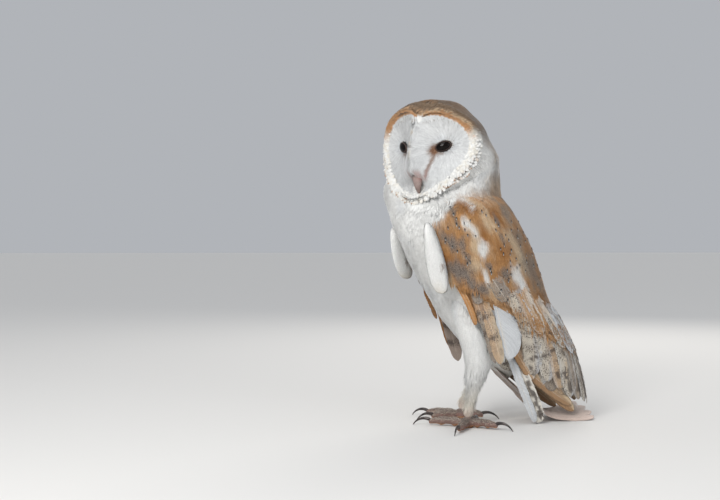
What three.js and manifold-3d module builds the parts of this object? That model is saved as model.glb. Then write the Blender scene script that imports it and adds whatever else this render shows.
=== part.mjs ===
// Barn owl, standing still, life size. Millimetres, +Z up. The bird faces -Y and its left is +X.
// Every piece is a surface of two parameters, and each is cut back by the pieces before it.
import * as THREE from 'three';
import { mergeVertices } from 'three/addons/utils/BufferGeometryUtils.js';
import Module from 'manifold-3d';

const wasm = await Module();
wasm.setup();

const { abs, acos, atan2, cos, exp, max, min, PI, sign, sin, sqrt } = Math;
const degree = PI / 180;
const seam = 0.35; // gap left between pieces that touch

// ---- Driving sizes ----

// Sections of the trunk and neck, by height: centre line, half width, depth in front and behind.
// The neck's sections turn a little to the right, away from the turned head.
const trunkStations = [
  { z: 44, y: 42, width: 22, front: 20, back: 18 },
  { z: 68, y: 38, width: 31, front: 34, back: 32 },
  { z: 95, y: 29, width: 38, front: 50, back: 44 },
  { z: 122, y: 16, width: 43, front: 54, back: 49 },
  { z: 150, y: 4, width: 46, front: 58, back: 52 },
  { z: 180, y: -9, width: 46, front: 60, back: 53 },
  { z: 201, x: -3, y: -19, width: 43, front: 56, back: 53, turn: -12 },
  { z: 213, x: -8, y: -21, width: 39, front: 56, back: 54, turn: -24 },
  { z: 226, x: -9, y: -22, width: 37, front: 53, back: 53, turn: -24 },
  { z: 241, x: -8, y: -23, width: 36, front: 42, back: 51, turn: -20 },
  { z: 264, x: -7, y: -25, width: 36, front: 28, back: 47, turn: -18 },
];

// The outside of the folded wings, by height, as one cloak round the trunk.
const cloakStations = [
  { z: 4, y: 94, width: 21, front: 30, back: 30 },
  { z: 22, y: 88, width: 27, front: 42, back: 34 },
  { z: 40, y: 79, width: 32, front: 50, back: 38 },
  { z: 63, y: 64, width: 38, front: 54, back: 45 },
  { z: 80, y: 50, width: 43, front: 54, back: 50 },
  { z: 97, y: 35, width: 47, front: 54, back: 55 },
  { z: 116, y: 20, width: 51, front: 55, back: 57 },
  { z: 140, y: 9, width: 54, front: 58, back: 59 },
  { z: 165, y: 0, width: 55, front: 60, back: 58 },
  { z: 188, y: -11, width: 52, front: 58, back: 57 },
  { z: 205, y: -18, width: 47, front: 54, back: 54 },
];

// One leg, from inside the belly to the ankle, for a foot at its own origin.
const legStations = [
  { z: 9, x: 0, y: 0, width: 6, front: 6.3, back: 6.3 },
  { z: 17, x: 0.5, y: 0.5, width: 6.8, front: 7.2, back: 7.2 },
  { z: 31, x: 1, y: 4, width: 8.5, front: 9.3, back: 9 },
  { z: 46, x: 2, y: 6.5, width: 11, front: 12.5, back: 13 },
  { z: 62, x: 3, y: 9, width: 13, front: 13.5, back: 16 },
  { z: 78, x: 4, y: 7.5, width: 15, front: 15.5, back: 18 },
  { z: 96, x: 4, y: 5, width: 16, front: 17.5, back: 21 },
  { z: 122, x: 2, y: 8, width: 13, front: 18, back: 18 },
];

const head = {
  eyeLevel: new THREE.Vector3(19.7, -60.4, 257), // between the eyes, on the face's own plane
  turn: 35 * degree, // towards the bird's left
  roll: 2 * degree, // the left eye a little lower
  discHalfWidth: 50,
  discTop: 32, // above eye level
  discBottom: 50, // below eye level
  notch: 5, // dip of the heart's top edge
  discWrap: 25, // how far the disc's side edges lie behind its middle
  back: 80, // nape, behind the face's plane
  ridge: 9, // bridge of feathers down the middle of the face
  bowl: 5, // hollow round each eye
  rim: 2.5, // raised edge of the disc
};

// How far the head swells beyond the disc's edge, by the angle from the top of the head.
const headRise = [
  { at: 0, rise: 17 },
  { at: 25, rise: 16 },
  { at: 50, rise: 9 },
  { at: 80, rise: 4.5 },
  { at: 115, rise: 8.5 },
  { at: 150, rise: 5 },
  { at: 180, rise: 0 },
];

const eye = { radius: 8.3, side: 22, level: 0, depth: 17.4 };

const bill = { top: -12, tip: -46, halfWidth: 5.4, front: 1.5, hook: 4, depth: 13 };

const foot = { ballRadius: 8, ballHeight: 9.5, toeRadius: 4, clawLength: 21, clawRadius: 1.8 };

// Each foot's place, how far its leg leans back, and its toes: direction from straight ahead in
// degrees (outwards is positive) and reach to the end of the last pad.
const feet = {
  left: {
    side: 1,
    x: 22,
    y: -9,
    legLean: 0,
    toes: {
      inner: { direction: -36, reach: 37 },
      middle: { direction: 53, reach: 35 },
      outer: { direction: 130, reach: 30 },
      hind: { direction: 229, reach: 21 },
    },
  },
  right: {
    side: -1,
    x: -27,
    y: 6,
    legLean: 11,
    toes: {
      inner: { direction: 2, reach: 31 },
      middle: { direction: 45, reach: 37 },
      outer: { direction: 129, reach: 32 },
      hind: { direction: 205, reach: 21 },
    },
  },
};

// The folded wing's layers: their heights, the angles round the body that they cover, their
// thickness at the shoulder, and how far they lie under the cloak's surface.
const wing = {
  coverts: { high: 205, low: 116, to: 118 * degree, thick: 20, inset: 0 },
  scapulars: { high: 205, low: 100, from: 118 * degree, to: 179 * degree, thick: 20, inset: 0 },
  secondaries: { high: 121, to: 179 * degree, thick: 9, inset: 2, featherTips: 6, scallop: 5 },
  wrists: {
    left: { side: 43, y: -49, z: 157, halfLength: 33, halfWidth: 10, halfThick: 6.5, lean: 7 },
    right: { side: 42, y: -51.5, z: 161, halfLength: 26, halfWidth: 11, halfThick: 6.5, lean: 7 },
  },
};

// Feathers that stand free of the folded wings: middle line, the way their width runs, and sizes,
// all given for the left side.
const primaryTips = {
  points: [[29, 44, 66], [24, 72, 36], [19, 101, 11]],
  across: [0.25, 0.55, 0.8],
  halfWidth: 9,
  thick: 2.6,
};
const hangingPrimary = {
  points: [[31, 44, 60], [29.5, 52, 29], [27, 61, 0]],
  across: [0.25, 1, 0],
  halfWidth: 7.5,
  thick: 1.6,
};
const hangingSecondary = {
  points: [[46, -9, 126], [42.5, -2, 95], [32, 5, 54]],
  across: [0.3, 1, 0],
  halfWidth: 10,
  thick: 1.8,
};

// The tail's middle line, its sizes, and how far its sides droop.
const tail = {
  points: [[0, 22, 66], [0, 46, 36], [0, 74, 11], [0, 102, 3.6], [0, 129, 2.6]],
  halfWidth: 26,
  thick: 4.5,
  arch: 5,
};

const colours = {
  white: 0xe6e2d8,
  face: 0xeeeae2,
  crown: 0xb08a5e,
  golden: 0xc08a4e,
  grey: 0x8f8378,
  buff: 0xc4a27a,
  tailWhite: 0xdccfbf,
  billPink: 0xc9a596,
  eyeBlack: 0x0b0908,
  toePink: 0x9c7568,
  claw: 0x2c2422,
};

// ---- Helpers ----

// A size at a height or angle, by a smooth cubic through the stations.
function sizeAt(stations, key, at) {
  const last = stations.length - 1;
  const value = (i) => stations[i][key] ?? 0;
  const place = (i) => stations[i].z ?? stations[i].at;
  if (at <= place(0)) return value(0);
  if (at >= place(last)) return value(last);
  const i = stations.findIndex((s, n) => place(n) > at) - 1;
  const slope = (j) => {
    const [before, after] = [max(j - 1, 0), min(j + 1, last)];
    return (value(after) - value(before)) / (place(after) - place(before));
  };
  const span = place(i + 1) - place(i);
  const t = (at - place(i)) / span;
  const [t2, t3] = [t * t, t * t * t];
  return (
    value(i) * (2 * t3 - 3 * t2 + 1) +
    slope(i) * span * (t3 - 2 * t2 + t) +
    value(i + 1) * (3 * t2 - 2 * t3) +
    slope(i + 1) * span * (t3 - t2)
  );
}

// A point on the section at height z. The angle runs from straight ahead towards the bird's left.
// Squareness under 1 fills the section's corners. Grow adds to its radius.
function onSection(stations, z, angle, grow = 0, squareness = 1, shrink = 1) {
  const part = (value) => sign(value) * abs(value) ** squareness;
  const depth = sizeAt(stations, cos(angle) > 0 ? 'front' : 'back', z) + grow;
  const aside = (sizeAt(stations, 'width', z) + grow) * part(sin(angle)) * shrink;
  const ahead = depth * part(cos(angle)) * shrink;
  const turn = sizeAt(stations, 'turn', z) * degree;
  return new THREE.Vector3(
    sizeAt(stations, 'x', z) + aside * cos(turn) + ahead * sin(turn),
    sizeAt(stations, 'y', z) - ahead * cos(turn) + aside * sin(turn),
    z,
  );
}

// A base shape with shared corners merged and each corner moved by place.
function shaped(base, place) {
  base.deleteAttribute('normal');
  base.deleteAttribute('uv');
  const geometry = mergeVertices(base);
  const position = geometry.attributes.position;
  const corner = new THREE.Vector3();
  for (let i = 0; i < position.count; i += 1) {
    const moved = place(corner.fromBufferAttribute(position, i));
    position.setXYZ(i, moved.x, moved.y, moved.z);
  }
  return geometry;
}

// A closed geometry as a solid, its faces turned outwards.
function solidOf(geometry) {
  const vertProperties = new Float32Array(geometry.attributes.position.array);
  const triVerts = new Uint32Array(geometry.index.array);
  const solid = new wasm.Manifold(new wasm.Mesh({ numProp: 3, vertProperties, triVerts }));
  if (solid.volume() > 0) return solid;
  for (let i = 0; i < triVerts.length; i += 3) {
    [triVerts[i + 1], triVerts[i + 2]] = [triVerts[i + 2], triVerts[i + 1]];
  }
  return new wasm.Manifold(new wasm.Mesh({ numProp: 3, vertProperties, triVerts }));
}

// A ball whose points are placed by their angle around it and share of the way from pole to pole.
function ball(columns, rows, place) {
  return solidOf(
    shaped(new THREE.SphereGeometry(1, columns, rows), (corner) =>
      place(atan2(corner.z, -corner.x), acos(max(-1, min(1, corner.y))) / PI),
    ),
  );
}

// A plate whose points are placed by their share across, down and outwards.
function plate(columns, rows, place) {
  return solidOf(
    shaped(new THREE.BoxGeometry(1, 1, 1, columns, rows, 1), (corner) =>
      place(corner.x + 0.5, 0.5 - corner.y, corner.z + 0.5),
    ),
  );
}

// A closed loft of stations between two heights, with domed ends.
function loft(stations, low, high, columns, rows, grow, squareness = 1, dome = 0.12) {
  return ball(columns, rows, (around, along) => {
    const share = (1 - cos(PI * along)) / 2;
    const toEnd = min(share, 1 - share, dome) / dome;
    const z = high + grow + (low - high - 2 * grow) * share;
    return onSection(stations, z, around, grow, squareness, sqrt(1 - (1 - toEnd) ** 2));
  });
}

const mix = THREE.MathUtils.lerp;
// 0 before from, 1 after to, and a smooth step between; from may be the larger.
function smooth(x, from, to) {
  const t = max(0, min(1, (x - from) / (to - from)));
  return t * t * (3 - 2 * t);
}

// ---- Head ----

// From the head's own frame (towards its left, back from the face's plane, up from eye level).
function headPlace(side, depth, up) {
  const [c, s] = [cos(head.turn), sin(head.turn)];
  const across = side * cos(head.roll) + up * sin(head.roll);
  const height = up * cos(head.roll) - side * sin(head.roll);
  return new THREE.Vector3(
    head.eyeLevel.x + across * c - depth * s,
    head.eyeLevel.y + across * s + depth * c,
    head.eyeLevel.z + height,
  );
}

// Distance from the face's centre to the disc's heart-shaped edge. The angle runs from the top.
function discRadius(angle) {
  const upper = cos(angle) > 0;
  const power = upper ? 2.5 : 1.55;
  const height = upper ? head.discTop : head.discBottom;
  const across = abs(sin(angle) / head.discHalfWidth) ** power;
  const radius = (across + abs(cos(angle) / height) ** power) ** (-1 / power);
  return radius - head.notch * exp(-((angle / 0.24) ** 2));
}

const discEdgeDepth = (side) => head.discWrap * (abs(side) / head.discHalfWidth) ** 1.5;

// How far the face's surface lies behind its plane.
function faceDepth(side, up, share) {
  const bridge = smooth(up, 34, 6) * smooth(up, -44, -16);
  const ridge = head.ridge * exp(-((side / 7.5) ** 2)) * bridge;
  const toEye = ((abs(side) - eye.side) ** 2 + (up - eye.level) ** 2) / (2 * 12.5 ** 2);
  const edge = head.rim * exp(-(((share - 1) / 0.08) ** 2));
  return discEdgeDepth(side) + head.bowl * exp(-toEye) + 3 * sin(PI * share) - ridge - edge;
}

// The head's surface: the face for the first part of the way from pole to pole, then the crown,
// cheeks and nape as a quarter of an ellipse that swells behind the disc's edge.
function headSurface(around, along, grow) {
  const faceShare = 0.55;
  const edge = discRadius(around);
  if (along < faceShare) {
    const share = along / faceShare;
    const radius = (edge + grow) * share;
    const [side, up] = [radius * sin(around), radius * cos(around)];
    return headPlace(side, faceDepth(side, up, share) - grow, up);
  }
  const share = (along - faceShare) / (1 - faceShare);
  const rise = sizeAt(headRise, 'rise', abs(around) / degree);
  const filled = head.notch * exp(-((around / 0.3) ** 2)) * smooth(share, 0, 0.15);
  const swell = rise * sin(PI * share ** 0.8);
  const radius = (edge + filled + grow) * cos((PI / 2) * share) + swell;
  const front = discEdgeDepth(edge * sin(around)) - head.rim;
  const depth = mix(front, head.back + grow, sin((PI / 2) * share));
  return headPlace(radius * sin(around), depth, radius * cos(around));
}

const headSolid = (grow) => ball(22, 15, (around, along) => headSurface(around, along, grow));

// Everything in front of a curved sheet a little behind the disc's edge.
const faceSheet = 7;
const inFrontOfFace = (grow) =>
  plate(8, 1, (across, down, outward) => {
    const side = mix(-66, 66, across);
    const depth = mix(discEdgeDepth(side) + faceSheet + grow, -40, outward);
    return headPlace(side, depth, mix(58, -75, down));
  });

// The space in front of the disc, as wide as the disc: the neck's feathers part round it.
const faceWay = () =>
  ball(18, 4, (around, along) => {
    const share = min(1, 3 * min(along, 1 - along));
    const radius = (discRadius(around) + 0.6) * share;
    const [side, up] = [radius * sin(around), radius * cos(around)];
    return headPlace(side, along < 0.5 ? -40 : discEdgeDepth(side) + 2, up);
  });

// An eye is a whole ball, set into the face.
function eyeball(side, grow) {
  const middle = headPlace(side * eye.side, eye.depth, eye.level);
  return ball(10, 8, (around, along) => {
    const r = eye.radius + grow;
    return new THREE.Vector3(
      middle.x + r * sin(PI * along) * cos(around),
      middle.y + r * sin(PI * along) * sin(around),
      middle.z + r * cos(PI * along),
    );
  });
}

// The bill: a hooked, keeled cone that narrows from its feathered root to its tip.
function billSolid(grow) {
  return ball(10, 9, (around, along) => {
    const up = mix(bill.top + grow, bill.tip - grow, (1 - cos(PI * along)) / 2);
    const down = (bill.top - up) / (bill.top - bill.tip);
    const size = sqrt(max(0, 1 - down)) * smooth(down, -0.15, 0.2) * sqrt(min(1, along * 5));
    const swell = grow * sqrt(min(1, along * 8, (1 - along) * 8));
    const side = (bill.halfWidth * size + swell) * sin(around);
    const front = -bill.front + bill.hook * down ** 3;
    const half = (bill.depth * (1 - 0.6 * down) * size) / 2;
    return headPlace(side, front + half - (half + swell) * cos(around), up);
  });
}
// The part of the bill's space that belongs to its lower half.
const belowGape = (grow) =>
  plate(1, 1, (across, down, outward) =>
    headPlace(mix(-12, 12, across), mix(0.5 - grow, 30, outward), mix(-22 + grow, -60, down)),
  );

// ---- Legs and feet ----

const legOf = (place) =>
  legStations.map((s) => ({
    ...s,
    x: place.x + place.side * s.x,
    y: place.y + s.y + place.legLean * smooth(s.z, 6, 46),
  }));

// The ball of the foot, cut flat where it stands.
function footBall(place, grow) {
  return ball(12, 6, (around, along) => {
    const r = (foot.ballRadius + grow) * sin(PI * along);
    const z = foot.ballHeight / 2 + (foot.ballHeight / 2 + grow + 1.5) * cos(PI * along);
    return new THREE.Vector3(place.x + r * cos(around), place.y + r * sin(around), max(0, z));
  });
}

// A point in a toe's own frame: forward along the toe, sideways from it, and up.
function toePlace(place, toe, forward, sideways, up) {
  const heading = toe.direction * degree;
  const [ahead, aside] = [cos(heading), sin(heading)];
  return new THREE.Vector3(
    place.x + place.side * (forward * aside + sideways * ahead),
    place.y - forward * ahead + sideways * aside,
    max(0, up),
  );
}

// A toe: a low tube that lies on the floor, with pads below each joint.
function toeSolid(place, toe, grow) {
  return ball(8, 7, (around, along) => {
    const share = (1 - cos(PI * along)) / 2;
    const pads = 1 + 0.1 * cos(6 * PI * share);
    const r = (foot.toeRadius * pads + grow) * sqrt(max(0, 1 - abs(2 * share - 1) ** 6));
    const forward = mix(-grow, toe.reach + grow, share);
    const level = foot.toeRadius + 0.2 + 1.6 * sin(PI * share);
    return toePlace(place, toe, forward, r * cos(around), level + r * 1.05 * sin(around));
  });
}

// A claw: a cone bent through most of a quarter circle, its tip just on the floor.
function clawSolid(place, toe, grow) {
  const [bend, rise] = [1.75, 0.55]; // angle it bends through, and the angle it starts upwards at
  const radius = foot.clawLength / bend;
  return ball(5, 6, (around, along) => {
    const turned = bend * along;
    const r = (foot.clawRadius * (1 - 0.86 * along) + grow) * sqrt(min(1, (1 - along) * 8, along * 8));
    const out = radius + r * cos(around);
    const lift = rise - turned;
    return toePlace(
      place,
      toe,
      toe.reach - 3 + radius * sin(rise) - out * sin(lift),
      r * sin(around),
      foot.toeRadius + 1.2 - radius * cos(rise) + out * cos(lift),
    );
  });
}

// ---- Wings and tail ----

// Angle round the body where a wing's front edge lies, by height.
const wingFront = [
  { z: 10, angle: 64 },
  { z: 40, angle: 52 },
  { z: 57, angle: 40 },
  { z: 75, angle: 39 },
  { z: 97, angle: 41 },
  { z: 122, angle: 40 },
  { z: 150, angle: 42 },
  { z: 210, angle: 48 },
];
const cloakSquareness = 0.88;

// A point of the cloak on one side, so many millimetres under its surface.
function onCloak(side, angle, z, under = 0) {
  const point = onSection(cloakStations, z, angle, -under, cloakSquareness);
  return new THREE.Vector3(side * point.x, point.y, point.z);
}

// Lower edge of the long wing feathers by their angle round the body: each tip is a scallop.
function featherLine(angle, across) {
  const line = mix(57, 14, smooth(angle, 30 * degree, 155 * degree));
  return line + wing.secondaries.scallop * (1 - abs(sin(wing.secondaries.featherTips * PI * across)));
}

// A layer of the cloak between two angles and two heights, thinner towards its lower edge.
function wingLayer(side, columns, rows, layer, grow) {
  return plate(columns, rows, (across, down, outward) => {
    const startAt = (z) => layer.from ?? sizeAt(wingFront, 'angle', z) * degree;
    const lowAt = (angle) => layer.low ?? featherLine(angle, across);
    const level = mix(layer.high, lowAt(mix(startAt(layer.high), layer.to, across)), down);
    const angle = mix(startAt(level) - grow * 0.02, layer.to + grow * 0.02, across);
    const z = mix(layer.high + grow, lowAt(angle) - grow, down);
    const edge = sqrt(max(0.06, 1 - abs(2 * across - 1) ** 8));
    const outer = layer.inset + (1 - edge) * 3 - grow;
    const inner = outer + mix(layer.thick, 2.2, down) * edge + 2 * grow;
    return onCloak(side, angle, z, outward > 0.5 ? outer : inner);
  });
}

// The wing's white wrist: a flattened bar along its front edge.
function wristSolid(name, side, grow) {
  const w = wing.wrists[name];
  return ball(12, 9, (around, along) => {
    const share = cos(PI * along);
    const r = sin(PI * along) ** 0.8;
    const wide = (w.halfWidth + grow) * r * cos(around);
    const thin = (w.halfThick + grow) * r * sin(around);
    const outwards = 62 * degree; // the bar's broad face looks outwards and forwards
    return new THREE.Vector3(
      side * (w.side + thin * sin(outwards) + wide * cos(outwards)),
      w.y - share * w.lean - thin * cos(outwards) + wide * sin(outwards),
      w.z + (w.halfLength + grow) * share,
    );
  });
}

// A long feather, or a narrow stack of them, along its middle line, on one side of the body.
function longFeather({ points, across, halfWidth, thick }, side, grow) {
  const line = new THREE.CatmullRomCurve3(points.map((p) => new THREE.Vector3(...p)));
  return plate(2, 6, (share, down, outward) => {
    const middle = line.getPoint(down);
    const tangent = line.getTangent(down);
    const broad = new THREE.Vector3(...across);
    broad.addScaledVector(tangent, -broad.dot(tangent)).normalize();
    const face = new THREE.Vector3().crossVectors(tangent, broad);
    const shape = sqrt(max(0.03, 1 - abs(2 * down - 0.85) ** 5 / 1.15 ** 5));
    middle.addScaledVector(broad, (share - 0.5) * 2 * (halfWidth * shape + grow));
    middle.addScaledVector(face, (outward - 0.5) * (thick + 2 * grow));
    middle.addScaledVector(tangent, (down - 0.5) * 2 * grow);
    return new THREE.Vector3(side * middle.x, middle.y, max(0, middle.z));
  });
}

const tailLine = new THREE.CatmullRomCurve3(tail.points.map((p) => new THREE.Vector3(...p)));

// The closed tail: an arched fan of stacked feathers, its last part flat on the floor.
function tailSolid(grow) {
  return plate(6, 9, (across, down, outward) => {
    const share = 2 * across - 1;
    const rounded = 1 - 0.09 * share ** 2;
    const line = tailLine.getPoint(down * rounded);
    const tangent = tailLine.getTangent(down * rounded);
    const spread = mix(0.72, 1, smooth(down, 0, 0.6));
    const wide = tail.halfWidth * spread * sqrt(1 - 3.5 * max(0, down - 0.9));
    const thick = mix(tail.thick + 3, tail.thick - 1.5, down);
    const drop = tail.arch * share ** 2 * smooth(down, 1, 0.4);
    const lift = (outward - 0.5) * (thick + 2 * grow) - drop;
    return new THREE.Vector3(
      share * (wide + grow),
      line.y - tangent.z * lift + (down - 0.5) * 2 * grow,
      max(0, line.z + tangent.y * lift),
    );
  });
}

// ---- Assembly ----

const owl = new THREE.Group();
const placed = [];

// Adds a piece, cut back by every piece before it, and keeps its largest body.
function add(name, colour, make, roughness = 0.9) {
  let solid = make(0);
  for (const other of placed) solid = solid.subtract(other);
  const bodies = solid.decompose().sort((a, b) => b.volume() - a.volume());
  const found = bodies[0].getMesh();
  const geometry = new THREE.BufferGeometry();
  geometry.setAttribute('position', new THREE.BufferAttribute(found.vertProperties, 3));
  geometry.setIndex(new THREE.BufferAttribute(found.triVerts, 1));
  const mesh = new THREE.Mesh(geometry, new THREE.MeshStandardMaterial({ color: colour, roughness }));
  mesh.name = name;
  owl.add(mesh);
  placed.push(make(seam));
}

// The space between two levels, as a big plate.
const between = (low, high) =>
  plate(1, 1, (across, down, outward) =>
    new THREE.Vector3(mix(-200, 200, across), mix(-200, 200, down), mix(low, high, outward)),
  );
const above = (z) => between(z, 400);
const below = (z) => between(-100, z);

const sides = [
  ['left', 1],
  ['right', -1],
];

for (const [name, side] of sides) add(`eye_${name}`, colours.eyeBlack, (grow) => eyeball(side, grow), 0.1);
add('bill_lower', colours.billPink, (grow) => billSolid(grow).intersect(belowGape(grow)), 0.45);
add('bill_upper', colours.billPink, billSolid, 0.45);
add('facial_disc', colours.face, (grow) => headSolid(grow).intersect(inFrontOfFace(grow)));
add('head', colours.crown, headSolid);

for (const [name] of sides) {
  const place = feet[name];
  add(`foot_${name}`, colours.toePink, (grow) => footBall(place, grow), 0.7);
  for (const [which, toe] of Object.entries(place.toes)) {
    add(`toe_${which}_${name}`, colours.toePink, (grow) => toeSolid(place, toe, grow), 0.7);
    add(`claw_${which}_${name}`, colours.claw, (grow) => clawSolid(place, toe, grow), 0.35);
  }
  const leg = (grow) => loft(legOf(place), 9, 122, 12, 11, grow, 1, 0.06);
  const ankle = 48;
  add(`tarsus_${name}`, colours.white, (grow) => leg(grow).intersect(below(ankle + grow)));
  add(`thigh_${name}`, colours.white, (grow) => leg(grow).intersect(above(ankle - grow)));
}

add('tail', colours.tailWhite, tailSolid);

const neckBase = 212;
const trunk = (grow) => loft(trunkStations, 44, 276, 18, 14, grow, 0.95);
placed.push(faceWay());
add('neck', colours.white, (grow) => trunk(grow).intersect(above(neckBase - grow)));
add('trunk', colours.white, trunk);

for (const [name, side] of sides) {
  const layerOf = (layer, columns, rows) => (grow) => wingLayer(side, columns, rows, layer, grow);
  add(`wing_wrist_${name}`, colours.white, (grow) => wristSolid(name, side, grow));
  add(`wing_coverts_${name}`, colours.golden, layerOf(wing.coverts, 7, 6));
  add(`wing_scapulars_${name}`, colours.grey, layerOf(wing.scapulars, 4, 6));
  add(`wing_secondaries_${name}`, colours.buff, layerOf(wing.secondaries, 12, 4));
  add(`wing_primaries_${name}`, colours.buff, (grow) => longFeather(primaryTips, side, grow));
}
add('wing_hanging_primary_left', colours.tailWhite, (grow) => longFeather(hangingPrimary, 1, grow));
add('wing_hanging_secondary_right', colours.buff, (grow) => longFeather(hangingSecondary, -1, grow));

const box = new THREE.Box3().setFromObject(owl);
const middle = box.getCenter(new THREE.Vector3());
owl.position.set(-middle.x, -middle.y, -box.min.z);

export default owl;
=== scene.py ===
import bpy
import numpy as np
from mathutils import Matrix, Vector


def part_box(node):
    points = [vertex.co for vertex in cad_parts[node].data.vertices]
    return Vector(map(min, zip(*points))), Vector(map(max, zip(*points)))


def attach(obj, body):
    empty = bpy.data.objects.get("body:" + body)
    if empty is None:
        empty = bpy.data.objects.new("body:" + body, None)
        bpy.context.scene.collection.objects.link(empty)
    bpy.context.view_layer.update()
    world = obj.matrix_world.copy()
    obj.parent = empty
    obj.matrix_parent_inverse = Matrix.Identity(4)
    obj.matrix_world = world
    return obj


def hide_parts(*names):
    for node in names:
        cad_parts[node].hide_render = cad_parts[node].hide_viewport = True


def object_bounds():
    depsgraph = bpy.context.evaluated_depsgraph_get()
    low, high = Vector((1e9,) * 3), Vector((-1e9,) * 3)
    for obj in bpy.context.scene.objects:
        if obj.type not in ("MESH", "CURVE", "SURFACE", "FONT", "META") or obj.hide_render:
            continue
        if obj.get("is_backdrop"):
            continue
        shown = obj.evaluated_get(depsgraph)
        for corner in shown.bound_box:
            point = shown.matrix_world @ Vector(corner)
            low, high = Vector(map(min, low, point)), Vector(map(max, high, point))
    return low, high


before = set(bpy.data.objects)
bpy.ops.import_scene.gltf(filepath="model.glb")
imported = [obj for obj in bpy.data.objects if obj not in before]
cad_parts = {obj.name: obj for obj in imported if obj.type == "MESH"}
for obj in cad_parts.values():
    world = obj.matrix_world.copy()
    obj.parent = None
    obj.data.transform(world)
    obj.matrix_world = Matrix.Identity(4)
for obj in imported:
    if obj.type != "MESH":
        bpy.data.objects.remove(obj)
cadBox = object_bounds()
chance = np.random.default_rng(11)
degree = np.pi / 180

# ---- Sizes of the bird, as the solids have them ----

trunkStations = [
    dict(z=44, y=42, width=22, front=20, back=18),
    dict(z=68, y=38, width=31, front=34, back=32),
    dict(z=95, y=29, width=38, front=50, back=44),
    dict(z=122, y=16, width=43, front=54, back=49),
    dict(z=150, y=4, width=46, front=58, back=52),
    dict(z=180, y=-9, width=46, front=60, back=53),
    dict(z=201, x=-3, y=-19, width=43, front=56, back=53, turn=-12),
    dict(z=213, x=-8, y=-21, width=39, front=56, back=54, turn=-24),
    dict(z=226, x=-9, y=-22, width=37, front=53, back=53, turn=-24),
    dict(z=241, x=-8, y=-23, width=36, front=42, back=51, turn=-20),
    dict(z=264, x=-7, y=-25, width=36, front=28, back=47, turn=-18),
]
cloakStations = [
    dict(z=4, y=94, width=21, front=30, back=30),
    dict(z=22, y=88, width=27, front=42, back=34),
    dict(z=40, y=79, width=32, front=50, back=38),
    dict(z=63, y=64, width=38, front=54, back=45),
    dict(z=80, y=50, width=43, front=54, back=50),
    dict(z=97, y=35, width=47, front=54, back=55),
    dict(z=116, y=20, width=51, front=55, back=57),
    dict(z=140, y=9, width=54, front=58, back=59),
    dict(z=165, y=0, width=55, front=60, back=58),
    dict(z=188, y=-11, width=52, front=58, back=57),
    dict(z=205, y=-18, width=47, front=54, back=54),
]
legStations = [
    dict(z=9, x=0, y=0, width=4.2, front=4.3, back=4.3),
    dict(z=17, x=0.5, y=0.5, width=3.6, front=3.7, back=3.7),
    dict(z=31, x=1, y=3.6, width=4, front=4.1, back=4.3),
    dict(z=46, x=2, y=6.2, width=8, front=8.4, back=9),
    dict(z=62, x=3, y=9, width=12.5, front=12.4, back=14.6),
    dict(z=78, x=3, y=7.5, width=14.5, front=15.5, back=18),
    dict(z=96, x=2, y=5, width=14.5, front=18, back=21),
    dict(z=122, x=-1, y=6, width=13, front=24, back=20),
    dict(z=146, x=-5, y=6, width=12, front=28, back=20),
]
head = dict(
    eyeLevel=np.array([19.7, -60.4, 257.0]), turn=35 * degree, roll=2 * degree,
    discHalfWidth=50, discTop=32, discBottom=50, notch=5, notchAt=0.2, discWrap=25, back=80,
    ridge=9, bowl=5, rim=2.5, faceShare=0.55,
)
headRise = [
    dict(z=0, rise=17), dict(z=25, rise=16), dict(z=50, rise=9), dict(z=80, rise=4.5),
    dict(z=115, rise=8.5), dict(z=150, rise=5), dict(z=180, rise=0),
]
eye = dict(side=22, depth=17.4, outward=28 * degree, plane=13.8, halfWidth=6.5, halfHeight=4.1, slant=0.22,
           ballAcross=1.2, ballUp=1.3, bulge=4.4)
bill = dict(top=-12, tip=-43, halfWidth=7.5, front=-0.6, hook=8.5, depth=19, gape=-26)
foot = dict(ballRadius=6.6, ballHeight=8.6, toeRadius=3.3, clawLength=22.5, clawRadius=1.65)
feet = dict(
    left=dict(side=1, x=22, y=-9, legLean=0, toes=dict(
        inner=(-36, 37), middle=(53, 35), outer=(130, 30), hind=(229, 21))),
    right=dict(side=-1, x=-27, y=6, legLean=11, toes=dict(
        inner=(2, 31), middle=(45, 37), outer=(129, 32), hind=(205, 21))),
)
wrists = dict(
    left=dict(side=43, y=-49, z=157, halfLength=33, halfWidth=10, halfThick=6.5, lean=7, lowEnd=1.25),
    right=dict(side=42, y=-51.5, z=161, halfLength=26, halfWidth=11, halfThick=6.5, lean=7, lowEnd=1.5),
)
wingFront = [
    dict(z=10, angle=64), dict(z=40, angle=52), dict(z=57, angle=40), dict(z=75, angle=39),
    dict(z=97, angle=41), dict(z=134, angle=42), dict(z=163, angle=45), dict(z=181, angle=48),
    dict(z=192, angle=58), dict(z=202, angle=70), dict(z=209, angle=86), dict(z=216, angle=100),
]
tailLine = np.array([(0, 22, 66), (0, 46, 36), (0, 74, 11), (0, 102, 3.6), (0, 129, 2.6)], float)
tail = dict(halfWidth=26, thick=4.5, droop=11, tilt=10)
squareness = dict(trunk=0.95, cloak=0.88)
sides = [("left", 1), ("right", -1)]

# ---- Plumage colours ----

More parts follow.
